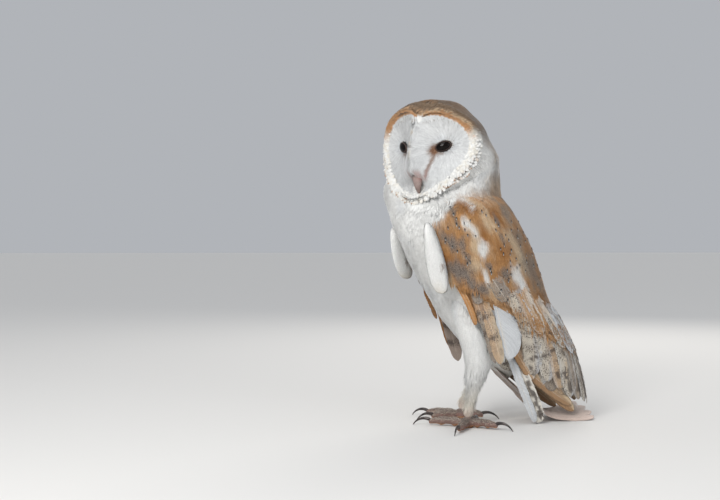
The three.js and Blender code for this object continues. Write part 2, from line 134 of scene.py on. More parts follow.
tones = dict(
    white=(0.80, 0.80, 0.78), cool=(0.62, 0.65, 0.69), cream=(0.72, 0.66, 0.55),
    golden=(0.47, 0.24, 0.092), pale=(0.70, 0.55, 0.375), rich=(0.32, 0.135, 0.038),
    grey=(0.165, 0.135, 0.115), ash=(0.33, 0.29, 0.255), soot=(0.035, 0.026, 0.022),
    crown=(0.27, 0.165, 0.085), rust=(0.42, 0.20, 0.075), buff=(0.42, 0.31, 0.205),
    drab=(0.30, 0.235, 0.17), pink=(0.66, 0.50, 0.42), toe=(0.23, 0.145, 0.12),
    pad=(0.46, 0.22, 0.10), stain=(0.22, 0.085, 0.035), flush=(0.40, 0.17, 0.13), lid=(0.075, 0.045, 0.036),
)
tones = {name: np.array(value) for name, value in tones.items()}


# ---- Numbers and noise ----

# 0 before the first value, 1 after the second, with a smooth step between.
def smooth(x, start, end):
    t = np.clip((x - start) / (end - start), 0, 1)
    return t * t * (3 - 2 * t)


# Part of the way from one value to another; colours take the share as a column.
def mix(first, second, share):
    return first + (second - first) * share


def blendTone(first, second, share):
    return first + (second - first) * np.asarray(share)[..., None]


def unit(vectors):
    return vectors / np.maximum(np.linalg.norm(vectors, axis=-1, keepdims=True), 1e-9)


# Value noise from -1 to 1: random numbers on a lattice, joined by smooth steps in x, y and z.
def softNoise(points, size, seed=0):
    at = np.asarray(points, float) / size + 131.7 * (seed + 1)
    cell = np.floor(at).astype(np.int64)
    t = at - cell
    t = t * t * (3 - 2 * t)
    total = 0
    for corner in range(8):
        step = np.array([corner & 1, corner >> 1 & 1, corner >> 2 & 1])
        x, y, z = np.moveaxis(cell + step, -1, 0)
        mixed = (x * 374761393 + y * 668265263 + z * 2147483647 + seed * 974634777) & 0xFFFFFFFF
        mixed = ((mixed ^ (mixed >> 13)) * 1274126177) & 0xFFFFFFFF
        value = ((mixed ^ (mixed >> 16)) & 0xFFFF) / 32767.5 - 1
        total = total + value * np.prod(np.where(step, t, 1 - t), axis=-1)
    return total


# A size by height or angle: a cubic between stations, its slope at each taken from its neighbours.
def sizeAt(stations, key, at):
    places = np.array([row["z"] for row in stations], float)
    values = np.array([row.get(key, 0) for row in stations], float)
    order = np.arange(len(places))
    before, after = np.maximum(order - 1, 0), np.minimum(order + 1, order[-1])
    slopes = (values[after] - values[before]) / (places[after] - places[before])
    x = np.clip(at, places[0], places[-1])
    i = np.clip(np.searchsorted(places, x, side="right") - 1, 0, order[-1] - 1)
    span = places[i + 1] - places[i]
    t = (x - places[i]) / span
    rise = values[i] * (2 * t**3 - 3 * t**2 + 1) + values[i + 1] * (3 * t**2 - 2 * t**3)
    return rise + span * (slopes[i] * (t**3 - 2 * t**2 + t) + slopes[i + 1] * (t**3 - t**2))


# ---- Surfaces of the body, each from two parameters and a lift off the solid's surface ----

# A section at height z: a squared ellipse, deeper in front or behind, turned about its middle.
def onSection(stations, angle, z, grow=0, square=1, shrink=1):
    angle, z = np.broadcast_arrays(np.asarray(angle, float), np.asarray(z, float))
    ahead, aside = np.cos(angle), np.sin(angle)
    depth = np.where(ahead > 0, sizeAt(stations, "front", z), sizeAt(stations, "back", z))
    ahead = (depth + grow) * np.sign(ahead) * np.abs(ahead) ** square * shrink
    width = sizeAt(stations, "width", z) + grow
    aside = width * np.sign(aside) * np.abs(aside) ** square * shrink
    turn = sizeAt(stations, "turn", z) * degree
    x = sizeAt(stations, "x", z) + aside * np.cos(turn) + ahead * np.sin(turn)
    y = sizeAt(stations, "y", z) - ahead * np.cos(turn) + aside * np.sin(turn)
    return np.stack([x, y, z], -1)


# How much a section shrinks towards a closed loft's ends, as a quarter circle.
def domed(z, low, high, dome):
    share = (high - z) / (high - low)
    toEnd = np.clip(np.minimum(share, 1 - share) / dome, 0, 1)
    return np.sqrt(1 - (1 - toEnd) ** 2)


def trunkSurface(angle, z, lift=0):
    return onSection(trunkStations, angle, z, lift, squareness["trunk"], domed(z, 44, 276, 0.12))


# The cloak of folded wings on one side; above the shoulder it eases into the neck.
def cloakSurface(side):
    def surface(angle, z, lift=0):
        cloak = onSection(cloakStations, angle, z, lift, squareness["cloak"])
        neck = onSection(trunkStations, side * angle, z, lift, squareness["trunk"])
        neck[..., 0] *= side
        point = blendTone(cloak, neck, smooth(z, 200, 219))
        point[..., 0] *= side
        return point
    return surface


def legOf(place):
    stations = []
    for row in legStations:
        lean = place["legLean"] * smooth(row["z"], 6, 46)
        moved = dict(x=place["x"] + place["side"] * row["x"], y=place["y"] + row["y"] + lean)
        stations.append({**row, **moved})
    return stations


def legSurface(place):
    stations = legOf(place)
    return lambda angle, z, lift=0: onSection(stations, angle, z, lift, 1, domed(z, 9, 150, 0.05))


# From the head's own frame: towards its left, back from the face's plane, up from eye level.
def headPlace(side, depth, up):
    c, s = np.cos(head["turn"]), np.sin(head["turn"])
    across = side * np.cos(head["roll"]) + up * np.sin(head["roll"])
    height = up * np.cos(head["roll"]) - side * np.sin(head["roll"])
    x, y, z = head["eyeLevel"]
    return np.stack(np.broadcast_arrays(x + across * c - depth * s, y + across * s + depth * c, z + height), -1)


# Back into the head's own frame.
def inHead(points):
    c, s = np.cos(head["turn"]), np.sin(head["turn"])
    x, y, z = np.moveaxis(points - head["eyeLevel"], -1, 0)
    across = x * c + y * s
    side = across * np.cos(head["roll"]) - z * np.sin(head["roll"])
    up = z * np.cos(head["roll"]) + across * np.sin(head["roll"])
    return side, y * c - x * s, up


# Distance from the face's centre to the disc's heart-shaped edge, by the angle from the top.
def discRadius(angle):
    upper = np.cos(angle) > 0
    power = np.where(upper, 2.5, 1.55)
    height = np.where(upper, head["discTop"], head["discBottom"])
    across = np.abs(np.sin(angle) / head["discHalfWidth"]) ** power
    radius = (across + np.abs(np.cos(angle) / height) ** power) ** (-1 / power)
    return radius - head["notch"] * np.exp(-(((angle - head["notchAt"]) / 0.24) ** 2))


def discEdgeDepth(side):
    return head["discWrap"] * (np.abs(side) / head["discHalfWidth"]) ** 1.5


# The face behind its plane: wrapped back at the sides, hollow round the eyes, ridged down the middle.
def faceDepth(side, up, share):
    bridge = smooth(up, 36, 2) * smooth(up, -33, -22)
    ridge = mix(head["ridge"] - 1.5, head["ridge"] + 1, smooth(up, 10, -18)) * bridge
    ridge = ridge * np.exp(-((side / mix(9, 12.5, smooth(up, 10, -20))) ** 2))
    billRoom = 10 * np.exp(-((side / 10.5) ** 2) - ((up + 38) / 10) ** 2)
    toEye = ((np.abs(side) - eye["side"]) ** 2 + up**2) / (2 * 12.5**2)
    edge = head["rim"] * np.exp(-(((share - 1) / 0.08) ** 2))
    hollow = head["bowl"] * np.exp(-toEye) + billRoom
    hollow = hollow + 3 * np.sin(np.pi * share) * (1 - 0.8 * np.exp(-((side / 9) ** 2)) * smooth(up, 0, 20))
    return discEdgeDepth(side) + hollow - ridge - edge


# The head from pole to pole: the face first, then crown, cheeks and nape as a swelling quarter ellipse.
def headSurface(around, along, lift=0):
    around, along = np.broadcast_arrays(np.asarray(around, float), np.asarray(along, float))
    faceShare = head["faceShare"]
    edge = discRadius(around)
    share = np.clip(along / faceShare, 0, 1)
    radius = (edge + lift * share) * share
    side, up = radius * np.sin(around), radius * np.cos(around)
    face = headPlace(side, faceDepth(side, up, share) - lift, up)
    share = np.clip((along - faceShare) / (1 - faceShare), 0, 1)
    rise = sizeAt(headRise, "rise", np.abs(around) / degree)
    filled = head["notch"] * np.exp(-(((around - head["notchAt"]) / 0.3) ** 2)) * smooth(share, 0, 0.15)
    radius = (edge + filled + lift) * np.cos(np.pi / 2 * share) + rise * np.sin(np.pi * share**0.8)
    front = discEdgeDepth(edge * np.sin(around)) - head["rim"]
    depth = mix(front, head["back"] + lift, np.sin(np.pi / 2 * share))
    back = headPlace(radius * np.sin(around), depth, radius * np.cos(around))
    return np.where((along < faceShare)[..., None], face, back)


# The white bar along a folded wing's front edge: a flattened spindle.
def wristSurface(name, side):
    w = wrists[name]
    outwards = 62 * degree

    def surface(around, along, lift=0):
        share = np.cos(np.pi * along)
        reach = np.sin(np.pi * along) ** 0.8
        wide = (w["halfWidth"] + lift) * reach * mix(0.42, w["lowEnd"], along) * np.cos(around) - 1.5
        thin = (w["halfThick"] + lift) * reach * 0.72 * np.sin(around) - 1.2
        x = side * (w["side"] + thin * np.sin(outwards) + wide * np.cos(outwards))
        y = w["y"] - share * w["lean"] - thin * np.cos(outwards) + wide * np.sin(outwards)
        return np.stack(np.broadcast_arrays(x, y, w["z"] + (w["halfLength"] + lift) * share), -1)
    return surface


# A smooth curve through points, by the share of the way along it.
def curveThrough(points, share):
    points = np.asarray(points, float)
    knots = np.vstack([2 * points[0] - points[1], points, 2 * points[-1] - points[-2]])
    at = np.clip(np.asarray(share, float), 0, 1) * (len(points) - 1)
    i = np.minimum(at.astype(int), len(points) - 2)
    t = (at - i)[..., None]
    a, b, c, d = knots[i], knots[i + 1], knots[i + 2], knots[i + 3]
    return 0.5 * (2 * b + (c - a) * t + (2 * a - 5 * b + 4 * c - d) * t**2 + (3 * b - a - 3 * c + d) * t**3)


# The tail's upper surface: its middle line spread sideways, the sides drooping, the end rounded.
def tailSurface(share, down, lift=0):
    share, down = np.broadcast_arrays(np.asarray(share, float), np.asarray(down, float))
    rounded = down * (1 - 0.09 * share**2)
    line = curveThrough(tailLine, rounded)
    tangent = unit(curveThrough(tailLine, rounded + 1e-3) - curveThrough(tailLine, rounded - 1e-3))
    wide = tail["halfWidth"] * mix(0.72, 1, smooth(down, 0, 0.6))
    drop = tail["droop"] * np.abs(share) ** 3 * smooth(down, 1, 0.5)
    rise = mix(tail["thick"] + 3, tail["thick"] - 1.5, down) / 2 + lift - drop
    tilt = tail["tilt"] * (1 - share) / 2 * smooth(down, 0.5, 1)
    height = np.maximum(0.4, line[..., 2] + tangent[..., 1] * rise + tilt)
    return np.stack([share * wide, line[..., 1] - tangent[..., 2] * rise, height], -1)


# Whether points lie inside a loft of sections, by more than a margin.
def insideSections(stations, points, square, margin=0):
    x, y, z = np.moveaxis(points, -1, 0)
    turn = sizeAt(stations, "turn", z) * degree
    x, y = x - sizeAt(stations, "x", z), sizeAt(stations, "y", z) - y
    ahead, aside = y * np.cos(turn) + x * np.sin(turn), x * np.cos(turn) - y * np.sin(turn)
    depth = np.where(ahead > 0, sizeAt(stations, "front", z), sizeAt(stations, "back", z)) - margin
    width = sizeAt(stations, "width", z) - margin
    within = (np.abs(aside) / width) ** (2 / square) + (np.abs(ahead) / depth) ** (2 / square) < 1
    return within & (z > stations[0]["z"]) & (z < stations[-1]["z"])


# Whether points lie inside the head, by more than a margin.
def insideHead(points, margin=0):
    side, depth, up = inHead(points)
    around, reach = np.arctan2(side, up), np.hypot(side, up)
    edge = discRadius(around)
    face = (reach < edge - margin) & (depth > faceDepth(side, up, np.clip(reach / edge, 0, 1)) + margin)
    front = discEdgeDepth(edge * np.sin(around)) - head["rim"]
    share = np.arcsin(np.clip((depth - front) / (head["back"] - margin - front), 0, 1)) / (np.pi / 2)
    swell = sizeAt(headRise, "rise", np.abs(around) / degree) * np.sin(np.pi * share**0.8)
    radius = (edge - margin) * np.cos(np.pi / 2 * share) + swell
    return np.where(depth < front, face, (reach < radius) & (depth < head["back"] - margin))


# Rough distance of points outside the neck and outside the back of the head.
def fromTrunk(points):
    x, y, z = np.moveaxis(points, -1, 0)
    turn = sizeAt(trunkStations, "turn", z) * degree
    x, y = x - sizeAt(trunkStations, "x", z), sizeAt(trunkStations, "y", z) - y
    ahead, aside = y * np.cos(turn) + x * np.sin(turn), x * np.cos(turn) - y * np.sin(turn)
    depth = np.where(ahead > 0, sizeAt(trunkStations, "front", z), sizeAt(trunkStations, "back", z))
    ratio = np.hypot(aside / sizeAt(trunkStations, "width", z), ahead / depth) / np.maximum(domed(z, 44, 276, 0.12), 0.05)
    return np.hypot(ahead, aside) * (1 - 1 / np.maximum(ratio, 0.05))


def fromHead(points):
    side, depth, up = inHead(points)
    around, reach = np.arctan2(side, up), np.hypot(side, up)
    edge = discRadius(around)
    front = discEdgeDepth(edge * np.sin(around)) - head["rim"]
    back = np.maximum(depth - front, 0) / (head["back"] - front)
    swell = sizeAt(headRise, "rise", np.abs(around) / degree) * np.sin(np.pi * np.clip(back, 0, 1) ** 0.8)
    ratio = np.hypot(reach / (edge + swell), back)
    return np.hypot(reach, depth - front) * (1 - 1 / np.maximum(ratio, 0.05))


# Plumage that fills the crease between head and neck, a rounded fillet that fades away from it
# and in front of the face.
fillet = dict(reach=42, height=7.5)


def filled(surface, fromOther):
    def raised(p, q, lift=0):
        here = surface(p, q, 0)
        near = np.clip(1 - np.maximum(fromOther(here), 0) / fillet["reach"], 0, 1)
        side, depth, up = inHead(here)
        low = smooth(up, 14, -8) * smooth(here[..., 2], 190, 216)
        behindFace = smooth(depth - discEdgeDepth(side), 0, mix(22, 9, smooth(up, -25, -45)))
        return surface(p, q, lift + fillet["height"] * near**2 * behindFace * low)
    return raised


headFilled = filled(headSurface, fromTrunk)
neckFilled = filled(trunkSurface, fromHead)

# The move from the bird's own place to the frame's, from where the left eye lies.
eyeLow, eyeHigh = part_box("eye_left")
eyeMiddle = (np.array(eyeLow) + np.array(eyeHigh)) * 500
shift = eyeMiddle - headPlace(eye["side"], eye["depth"], 0)
shift[2] = 0

# Where a folded wing's front edge lies round the body, by height.
def frontEdge(z):
    return sizeAt(wingFront, "angle", z) * degree


# ---- Markings: a colour and a share of dark speckle for any point of the coat ----

# Patches on the left wing: tone, angle round the body, height, half width in degrees, half height.
wingPatches = [
    ("rich", 86, 203, 9, 9), ("rich", 86, 176, 6, 10), ("rich", 100, 163, 10, 8), ("rich", 46, 152, 6, 8),
    ("rich", 108, 190, 6, 12), ("rich", 62, 150, 8, 5),
    ("pale", 81, 182, 6, 10), ("pale", 94, 187, 3, 11), ("pale", 97, 206, 4, 6), ("pale", 80, 165, 9, 7),
    ("pale", 113, 163, 5, 12), ("pale", 72, 148, 6, 6),
    ("white", 79, 186, 3.5, 6), ("white", 82, 180, 3, 6), ("white", 85, 165, 3, 6), ("white", 81, 160, 2.5, 6),
    ("white", 78, 138, 3, 11), ("white", 104, 138, 6, 12), ("white", 107, 122, 6, 14), ("white", 90, 203, 2, 6),
    ("grey", 72, 197, 3, 6), ("grey", 71, 186, 2.5, 4), ("grey", 54, 174, 5, 5), ("grey", 61, 167, 10.5, 7.5),
    ("grey", 67, 156, 3.5, 4), ("grey", 55, 143, 14, 9), ("grey", 64, 133, 9, 6), ("grey", 83, 147, 3, 3),
    ("grey", 93, 140, 5, 5), ("grey", 86, 128, 6, 7), ("grey", 89, 118, 3, 4), ("grey", 72, 127, 6, 5),
    ("grey", 102, 173, 3, 5), ("grey", 106, 187, 3, 6),
]
# Black-and-white drops on the left wing: angle and height.
wingDrops = [
    (72, 202), (72, 196), (73, 192), (71, 187), (72, 184), (62, 184), (78, 188), (84, 190), (76, 182),
    (82, 176), (76, 177), (55, 174), (53, 171), (61, 163), (58, 167), (67, 158), (69, 154), (66, 152),
    (84, 147), (84, 144), (96, 199), (98, 195), (104, 190), (105, 186), (100, 182), (107, 177), (108, 173),
    (96, 165), (97, 161), (101, 169), (103, 160), (106, 164), (108, 156), (101, 154), (100, 149), (96, 146),
    (98, 142), (95, 138), (94, 136), (106, 148), (110, 150), (87, 128), (85, 125), (89, 119), (115, 145),
    (118, 182), (122, 176), (120, 168), (124, 160), (121, 154), (126, 190), (130, 183), (134, 172),
    (138, 160), (132, 150), (142, 180), (150, 190), (154, 174), (148, 165), (158, 160), (146, 150),
    (162, 182), (168, 170), (166, 152), (156, 142), (140, 138), (128, 132), (172, 190), (172, 140),
]


# Feather-sized tones: each covert of a staggered pattern is a little lighter, darker or greyer.
def covertTone(aroundWing, z, streak):
    row = (z + 1.6 * streak) / 9.5
    rowNumber = np.floor(row)
    column = aroundWing / 9 + 0.5 * np.mod(rowNumber, 2) + 0.12 * streak
    cell = np.stack([np.floor(column), rowNumber, np.zeros_like(row)], -1)
    fromMiddle = np.abs(column - np.floor(column) - 0.5) * 2
    tip = 1 - (row - rowNumber)
    return softNoise(cell * 7.3, 1, 61), softNoise(cell * 5.1, 1, 62), smooth(tip - 0.35 * fromMiddle**2, 0.1, 0.9)


# The wing's golden ground, its patches as soft ovals roughened by noise, and the grey of the back.
def wingMarks(side, angle, z, points):
    aroundWing = angle / degree
    across = np.stack([aroundWing * 0.9, z * 0.16, np.full_like(z, 40.0 * side)], -1)
    streak = softNoise(across, 2.6, 3) * 0.6 + softNoise(across, 1.1, 4) * 0.4
    cloud = softNoise(points, 11, 5)
    if side < 0:
        aroundWing, z = aroundWing + 2.2 * softNoise(points, 34, 8), z + 4 * softNoise(points, 40, 9)
    shade, greyness, tip = covertTone(aroundWing, z, streak)
    tint = blendTone(tones["golden"], tones["pale"], smooth(0.5 * streak + 0.45 * cloud + 0.35 * shade, -0.1, 0.9))
    tint = blendTone(tint, tones["rich"], smooth(0.5 * streak - 0.5 * cloud - 0.3 * shade, 0.0, 0.8) * 0.6)
    tint = tint * (0.88 + 0.2 * tip)[..., None]
    back = smooth(aroundWing + 9 * cloud, 108, 130) * smooth(z, 88, 118)
    marbled = smooth(greyness + 0.7 * cloud + 0.3 * streak, -0.35, 0.5)
    dusky = np.maximum(back * (0.15 + 0.75 * marbled), 0.55 * smooth(greyness, 0.35, 0.7) * tip)
    speckle = 0.06 + 0.55 * dusky
    tint = blendTone(tint, mix(tones["grey"], tones["ash"], 0.55), dusky * 0.8)
    ragged = 0.42 * softNoise(points, 4.5, 6) + 0.34 * streak
    for tone, at, height, halfWidth, halfHeight in wingPatches:
        reach = np.hypot((aroundWing - at) / halfWidth, (z - height) / halfHeight)
        share = smooth(reach + ragged, 1.3, 0.45)
        strength = dict(rich=0.8, pale=0.65, white=0.88, grey=0.95)[tone]
        speckle = speckle + share * (0.9 if tone == "grey" else -0.1)
        tone = mix(tones["grey"], tones["ash"], 0.42) if tone == "grey" else tones[tone]
        tint = blendTone(tint, tone, share * strength)
    toNeck = smooth(z + 8 * cloud + 6 * streak, 203, 220)
    neckStart = 72 if side < 0 else 98
    neck = blendTone(tones["white"], napeTone(points), smooth(aroundWing + 14 * cloud, neckStart, neckStart + 36))
    tint = blendTone(tint, neck, toNeck)
    edge = smooth(aroundWing - frontEdge(z) / degree + 2.5 * cloud + 2 * streak, 7, 1) * smooth(z, 180, 192)
    tint = blendTone(tint, tones["white"], edge)
    return tint, np.clip(speckle * (1 - toNeck), 0, 1)


# The nape's tone: buff clouded with grey, in fine streaks.
def napeTone(points):
    cloud, streak = softNoise(points, 9, 73), softNoise(points * np.array([1, 1, 0.3]), 2.4, 74)
    buff = blendTone(mix(tones["pale"], tones["golden"], 0.4), tones["golden"], smooth(streak, -0.2, 0.9) * 0.6)
    tint = blendTone(buff, mix(tones["ash"], tones["grey"], 0.3), smooth(cloud + 0.6 * streak, -0.5, 0.7) * 0.75)
    return blendTone(tint, tones["grey"], smooth(streak - cloud, 0.4, 1.2) * 0.4)


# White plumage, a little cooler or warmer in soft clouds; buff and grey down the nape, which is
# turned with the head, and golden where it runs on into the shoulders.
def bodyMarks(angle, z, points):
    cloud = softNoise(points, 16, 11)
    tint = blendTone(tones["white"], tones["cool"], smooth(cloud, 0.0, 1.1) * 0.55)
    bearing = np.arctan2(points[..., 0] + 8, -22 - points[..., 1]) / degree
    high = smooth(z, 216, 242)
    fromNape = np.abs(np.mod(bearing - mix(20, 38, high), 360) - 180) + 14 * mix(1, 0, high)
    fromNape = fromNape - 28 * (1 - high)
    nape = smooth(fromNape + 14 * cloud + 8 * softNoise(points, 4, 78), 88, 50) * smooth(z, 188, 204)
    tint = blendTone(tint, napeTone(points), nape * 0.92)
    beyondEdge = np.abs(bearing) + 14 * cloud - frontEdge(z) / degree
    shoulder = smooth(beyondEdge, -4, 12) * smooth(z + 9 * softNoise(points, 6, 75), 221, 205) * smooth(z, 190, 198)
    tint = blendTone(tint, mix(tones["golden"], napeTone(points), 0.4), shoulder * 0.85)
    lower = smooth(z + 4 * cloud, 62, 46)
    return blendTone(tint, tones["cream"], lower * 0.3), 0.1 * nape


# Crown brown and gold over grey, fading down the cheeks to white; the nape stays brown-grey.
def crownMarks(points):
    side, depth, up = inHead(points)
    cloud, fleck = softNoise(points, 9, 13), softNoise(points * np.array([1, 1, 1.6]), 4, 14)
    crown = mix(tones["crown"], tones["ash"], 0.12) * 0.55
    ahead = smooth(depth, 34, 8)
    streak = softNoise(np.stack([side, depth * 0.22, up], -1), 3, 15)
    tint = blendTone(crown, mix(tones["golden"], tones["rust"], 0.35), smooth(cloud + streak, -0.3, 1.0) * (0.2 + 0.4 * ahead))
    tint = blendTone(tint, tones["grey"], smooth(fleck - streak, -0.1, 0.9) * 0.8)
    flank = np.abs(side) / 44
    cheek = smooth(up + 5 * cloud + 2 * streak, 18, -6) * smooth(depth + 6 * cloud + 3 * streak + 0.35 * up, 68, 40)
    tint = blendTone(tint, mix(tones["ash"], tones["grey"], 0.35), smooth(flank, 0.3, 1) * 0.5)
    tint = blendTone(tint, napeTone(points) * mix(1, 0.72, smooth(up, -10, 25))[..., None], smooth(depth + 6 * cloud - 12 * smooth(up, 0, 20), 38, 70) * 0.85)
    tint = blendTone(tint, tones["white"], cheek)
    return tint, 0.3 * (1 - cheek)


# White face: cool grey, with painted shade greyer in the hollows round the eyes; buff flecks on the bridge, rust from
# the eye down to the bill.
def faceMarks(points):
    side, depth, up = inHead(points)
    cloud = softNoise(points, 5, 17)
    toEye = fromEye(points)
    # painted shade: the face turns greyer in the hollows round the eyes
    tint = blendTone(tones["white"], tones["cool"], 0.34 + 0.3 * smooth(toEye, 3.4, 1.3) * smooth(cloud, -0.8, 0.8))
    corner = np.hypot((np.abs(side) - 15.0) / 3.2, (up + 4.6) / 5.8)
    below = np.hypot((np.abs(side) - 19) / 4.0, (up + 6.6) / 1.5)
    line = np.abs(np.abs(side) - mix(15.2, 8.0, np.clip((-8 - up) / 26, 0, 1) ** 1.4)) / 1.4
    track = smooth(line + 0.4 * cloud, 1.6, 0.5) * smooth(up, -33, -28) * smooth(up, 1, -5) * mix(0.15, 1, side > 0)
    stain = np.maximum(smooth(corner + 0.4 * cloud, 1.35, 0.4), track * 0.8)
    stain = np.maximum(stain, smooth(below + 0.4 * cloud, 1.4, 0.5) * 0.7)
    stained = blendTone(mix(tones["stain"], tones["rust"], 0.35) * 0.72, tones["flush"] * 0.75, smooth(up, -17, -26))
    tint = blendTone(tint, stained, stain * 0.95)
    cere = np.hypot((np.abs(side) - 4.5) / 3.2, (up + 27) / 4.5)
    tint = blendTone(tint, tones["flush"] * 0.8, smooth(cere + 0.4 * cloud, 1.3, 0.5) * 0.6)
    ring = smooth(toEye + 0.12 * cloud, 1.4, 1.15) * 0.5
    tint = blendTone(tint, mix(tones["pale"], tones["ash"], 0.5), ring * (1 - stain))
    bridge = smooth(np.abs(side + 1), 2.4, 0.8) * smooth(softNoise(points, 5, 18), 0.15, 0.5)
    bridge = bridge * smooth(up, -22, -16) * smooth(up, 16, 12)
    tint = blendTone(tint, tones["pale"], bridge * 0.4)
    turned = np.arctan2(up, np.abs(side) - eye["side"])  # streaks that fan out from the eyes
    fan = np.stack([np.cos(turned) * 22, np.sin(turned) * 22, toEye * 1.2 + 9 * (side > 0)], -1)
    streak = softNoise(fan, 1.3, 19) * smooth(toEye, 1.1, 1.8)
    return tint * (1 + 0.13 * streak - 0.05)[..., None], np.zeros_like(cloud)


# The disc's ruff: golden over the brow, cream at the sides and below, rust tips at its outer edge.
def ruffMarks(around, row, share, points):
    fleck = softNoise(points, 2.6, 21)
    place = around / degree
    notch = smooth(np.abs(place - 13), 6, 3) * smooth(row, 0.6, 0.4)
    top = smooth(np.abs(place) + 5 * fleck, 86, 66) * (1 - notch)
    tint = blendTone(tones["white"], tones["cream"], smooth(fleck, -0.4, 0.8) * 0.55)
    golden = mix(tones["rust"], tones["golden"], 0.35) * (1 + 0.3 * softNoise(points, 1.3, 22))[..., None]
    outerBand = smooth(row + 0.25 * fleck, 0.55, 0.66) * mix(0.25, 0.65, smooth(place, 5, 30))
    golden = blendTone(golden, tones["pale"], outerBand)
    golden = blendTone(golden, tones["crown"] * 0.6, smooth(row + 0.15 * fleck, 0.66, 0.84))
    tint = blendTone(tint, golden, top * 0.95 * smooth(row + 0.15 * fleck, 0.02, 0.16))
    rust = smooth(fleck, -0.15, 0.15) * smooth(row, 0.55, 0.75) * smooth(np.abs(place), 96, 110)
    rust = rust * smooth(place, 165, 145) * smooth(share, 0.45, 0.8)
    return blendTone(tint, tones["rust"] * 0.8, rust * 0.9), np.zeros_like(fleck)


# Leg plumage: white, creamier and pinker towards the foot.
def legMarks(z, points):
    cloud = softNoise(points, 8, 23)
    tint = blendTone(tones["white"], tones["cool"], smooth(cloud, 0, 1) * 0.35)
    tint = blendTone(tint, tones["cream"], smooth(z + 4 * cloud, 44, 20) * 0.75)
    return blendTone(tint, tones["pink"], smooth(z + 3 * cloud, 22, 10) * 0.6), np.zeros_like(cloud)


# The wrist's bar: white, creamy at its lower end, with one dark mark.
def wristMarks(name, along, points):
    cloud = softNoise(points, 6, 27)
    tint = blendTone(tones["white"], tones["cream"], smooth(along + 0.1 * cloud, 0.72, 0.98) * 0.7)
    w = wrists[name]
    mark = np.hypot((points[..., 2] - w["z"] + 10) / 3.6, (points[..., 1] - w["y"] - 5) / 1.7)
    dark = smooth(mark + 0.3 * cloud, 1.2, 0.5)
    return blendTone(tint, tones["stain"] * 0.6, dark * 0.8), np.zeros_like(cloud)


# ---- Meshes ----

# A mesh from corners, the corner numbers of its faces in a row, and each face's count.
def meshFrom(name, corners, order, counts, normals=None, tint=None, speckle=None, maps=None):
    mesh = bpy.data.meshes.new(name)
    mesh.vertices.add(len(corners))
    mesh.vertices.foreach_set("co", ((corners + shift) / 1000).astype(np.float32).ravel())
    mesh.loops.add(len(order))
    mesh.loops.foreach_set("vertex_index", order.astype(np.int32))
    mesh.polygons.add(len(counts))
    mesh.polygons.foreach_set("loop_start", np.concatenate([[0], np.cumsum(counts)[:-1]]).astype(np.int32))
    mesh.update(calc_edges=True)
    mesh.shade_smooth()
    if tint is not None:
        layer = mesh.color_attributes.new("plumage", "FLOAT_COLOR", "POINT")
        colour = np.ones((len(corners), 4), np.float32)
        colour[:, :3] = np.clip(tint, 0, 1)
        layer.data.foreach_set("color", colour.ravel())
    if speckle is not None:
        layer = mesh.attributes.new("speckle", "FLOAT", "POINT")
        layer.data.foreach_set("value", np.asarray(speckle, np.float32))
    for mapName, places in (maps or {}).items():
        layer = mesh.uv_layers.new(name=mapName)
        layer.data.foreach_set("uv", places[order].astype(np.float32).ravel())
    if normals is not None:
        mesh.normals_split_custom_set_from_vertices(unit(normals).astype(np.float32))
    return mesh


def pieceFrom(mesh, material, slotName=None, stands=()):
    piece = bpy.data.objects.new(mesh.name, mesh)
    bpy.context.scene.collection.objects.link(piece)
    mesh.materials.append(material)
    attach(piece, "root")
    if stands:
        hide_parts(*stands)
    print(f"{piece.name}: {len(mesh.loops) - 2 * len(mesh.polygons)} triangles")
    return piece


# A closed skin over a grid of points that meets itself around, with a pole at either end.
def closedGrid(grid):
    rows, columns = grid.shape[:2]
    number = np.arange(rows * columns).reshape(rows, columns)
    turned = np.roll(number, -1, 1)
    quads = np.stack([number[:-1], number[1:], turned[1:], turned[:-1]], -1).reshape(-1, 4)
    poles = np.array([grid[0].mean(0), grid[-1].mean(0)])
    first, last = rows * columns, rows * columns + 1
    caps = np.concatenate([
        np.stack([np.full(columns, first), number[0], turned[0]], -1),
        np.stack([np.full(columns, last), turned[-1], number[-1]], -1)])
    corners = np.concatenate([grid.reshape(-1, 3), poles])
    a, b, c = (corners[caps[:, k]] for k in range(3))
    p, q, r, s = (corners[quads[:, k]] for k in range(4))
    middle = corners.mean(0)
    volume = np.einsum("ij,ij->", a - middle, np.cross(b - middle, c - middle))
    volume += np.einsum("ij,ij->", p - middle, np.cross(q - middle, r - middle))
    volume += np.einsum("ij,ij->", p - middle, np.cross(r - middle, s - middle))
    if volume < 0:
        quads, caps = quads[:, ::-1], caps[:, ::-1]
    return corners, quads, caps


# Several closed grids as one list of corners, face corners and face counts.
def joinGrids(grids):
    corners, order, counts, start = [], [], [], 0
    for grid in grids:
        points, quads, caps = closedGrid(grid)
        corners.append(points)
        order += [quads.ravel() + start, caps.ravel() + start]
        counts += [np.full(len(quads), 4), np.full(len(caps), 3)]
        start += len(points)
    return np.concatenate(corners), np.concatenate(order), np.concatenate(counts)


# A grid of a surface's two parameters, from pole to pole in rows and once around in columns.
def poleToPole(surface, rows, columns, lift=0, ends=0.004):
    along = np.linspace(ends, 1 - ends, rows)[:, None]
    around = np.linspace(-np.pi, np.pi, columns, endpoint=False)[None, :]
    return surface(around, along, lift)


# The same for a surface by angle and height.
def lowToHigh(surface, rows, columns, low, high, lift=0):
    z = np.linspace(low, high, rows)[:, None]
    around = np.linspace(-np.pi, np.pi, columns, endpoint=False)[None, :]
    return surface(around, z, lift)


# ---- Materials ----

def newMaterial(name, roughness, specular=0.5):
    material = bpy.data.materials.new(name)
    material.use_nodes = True
    nodes, links = material.node_tree.nodes, material.node_tree.links
    shader = nodes["Principled BSDF"]
    shader.inputs["Roughness"].default_value = roughness
    shader.inputs["Specular IOR Level"].default_value = specular
    return material, nodes, links, shader


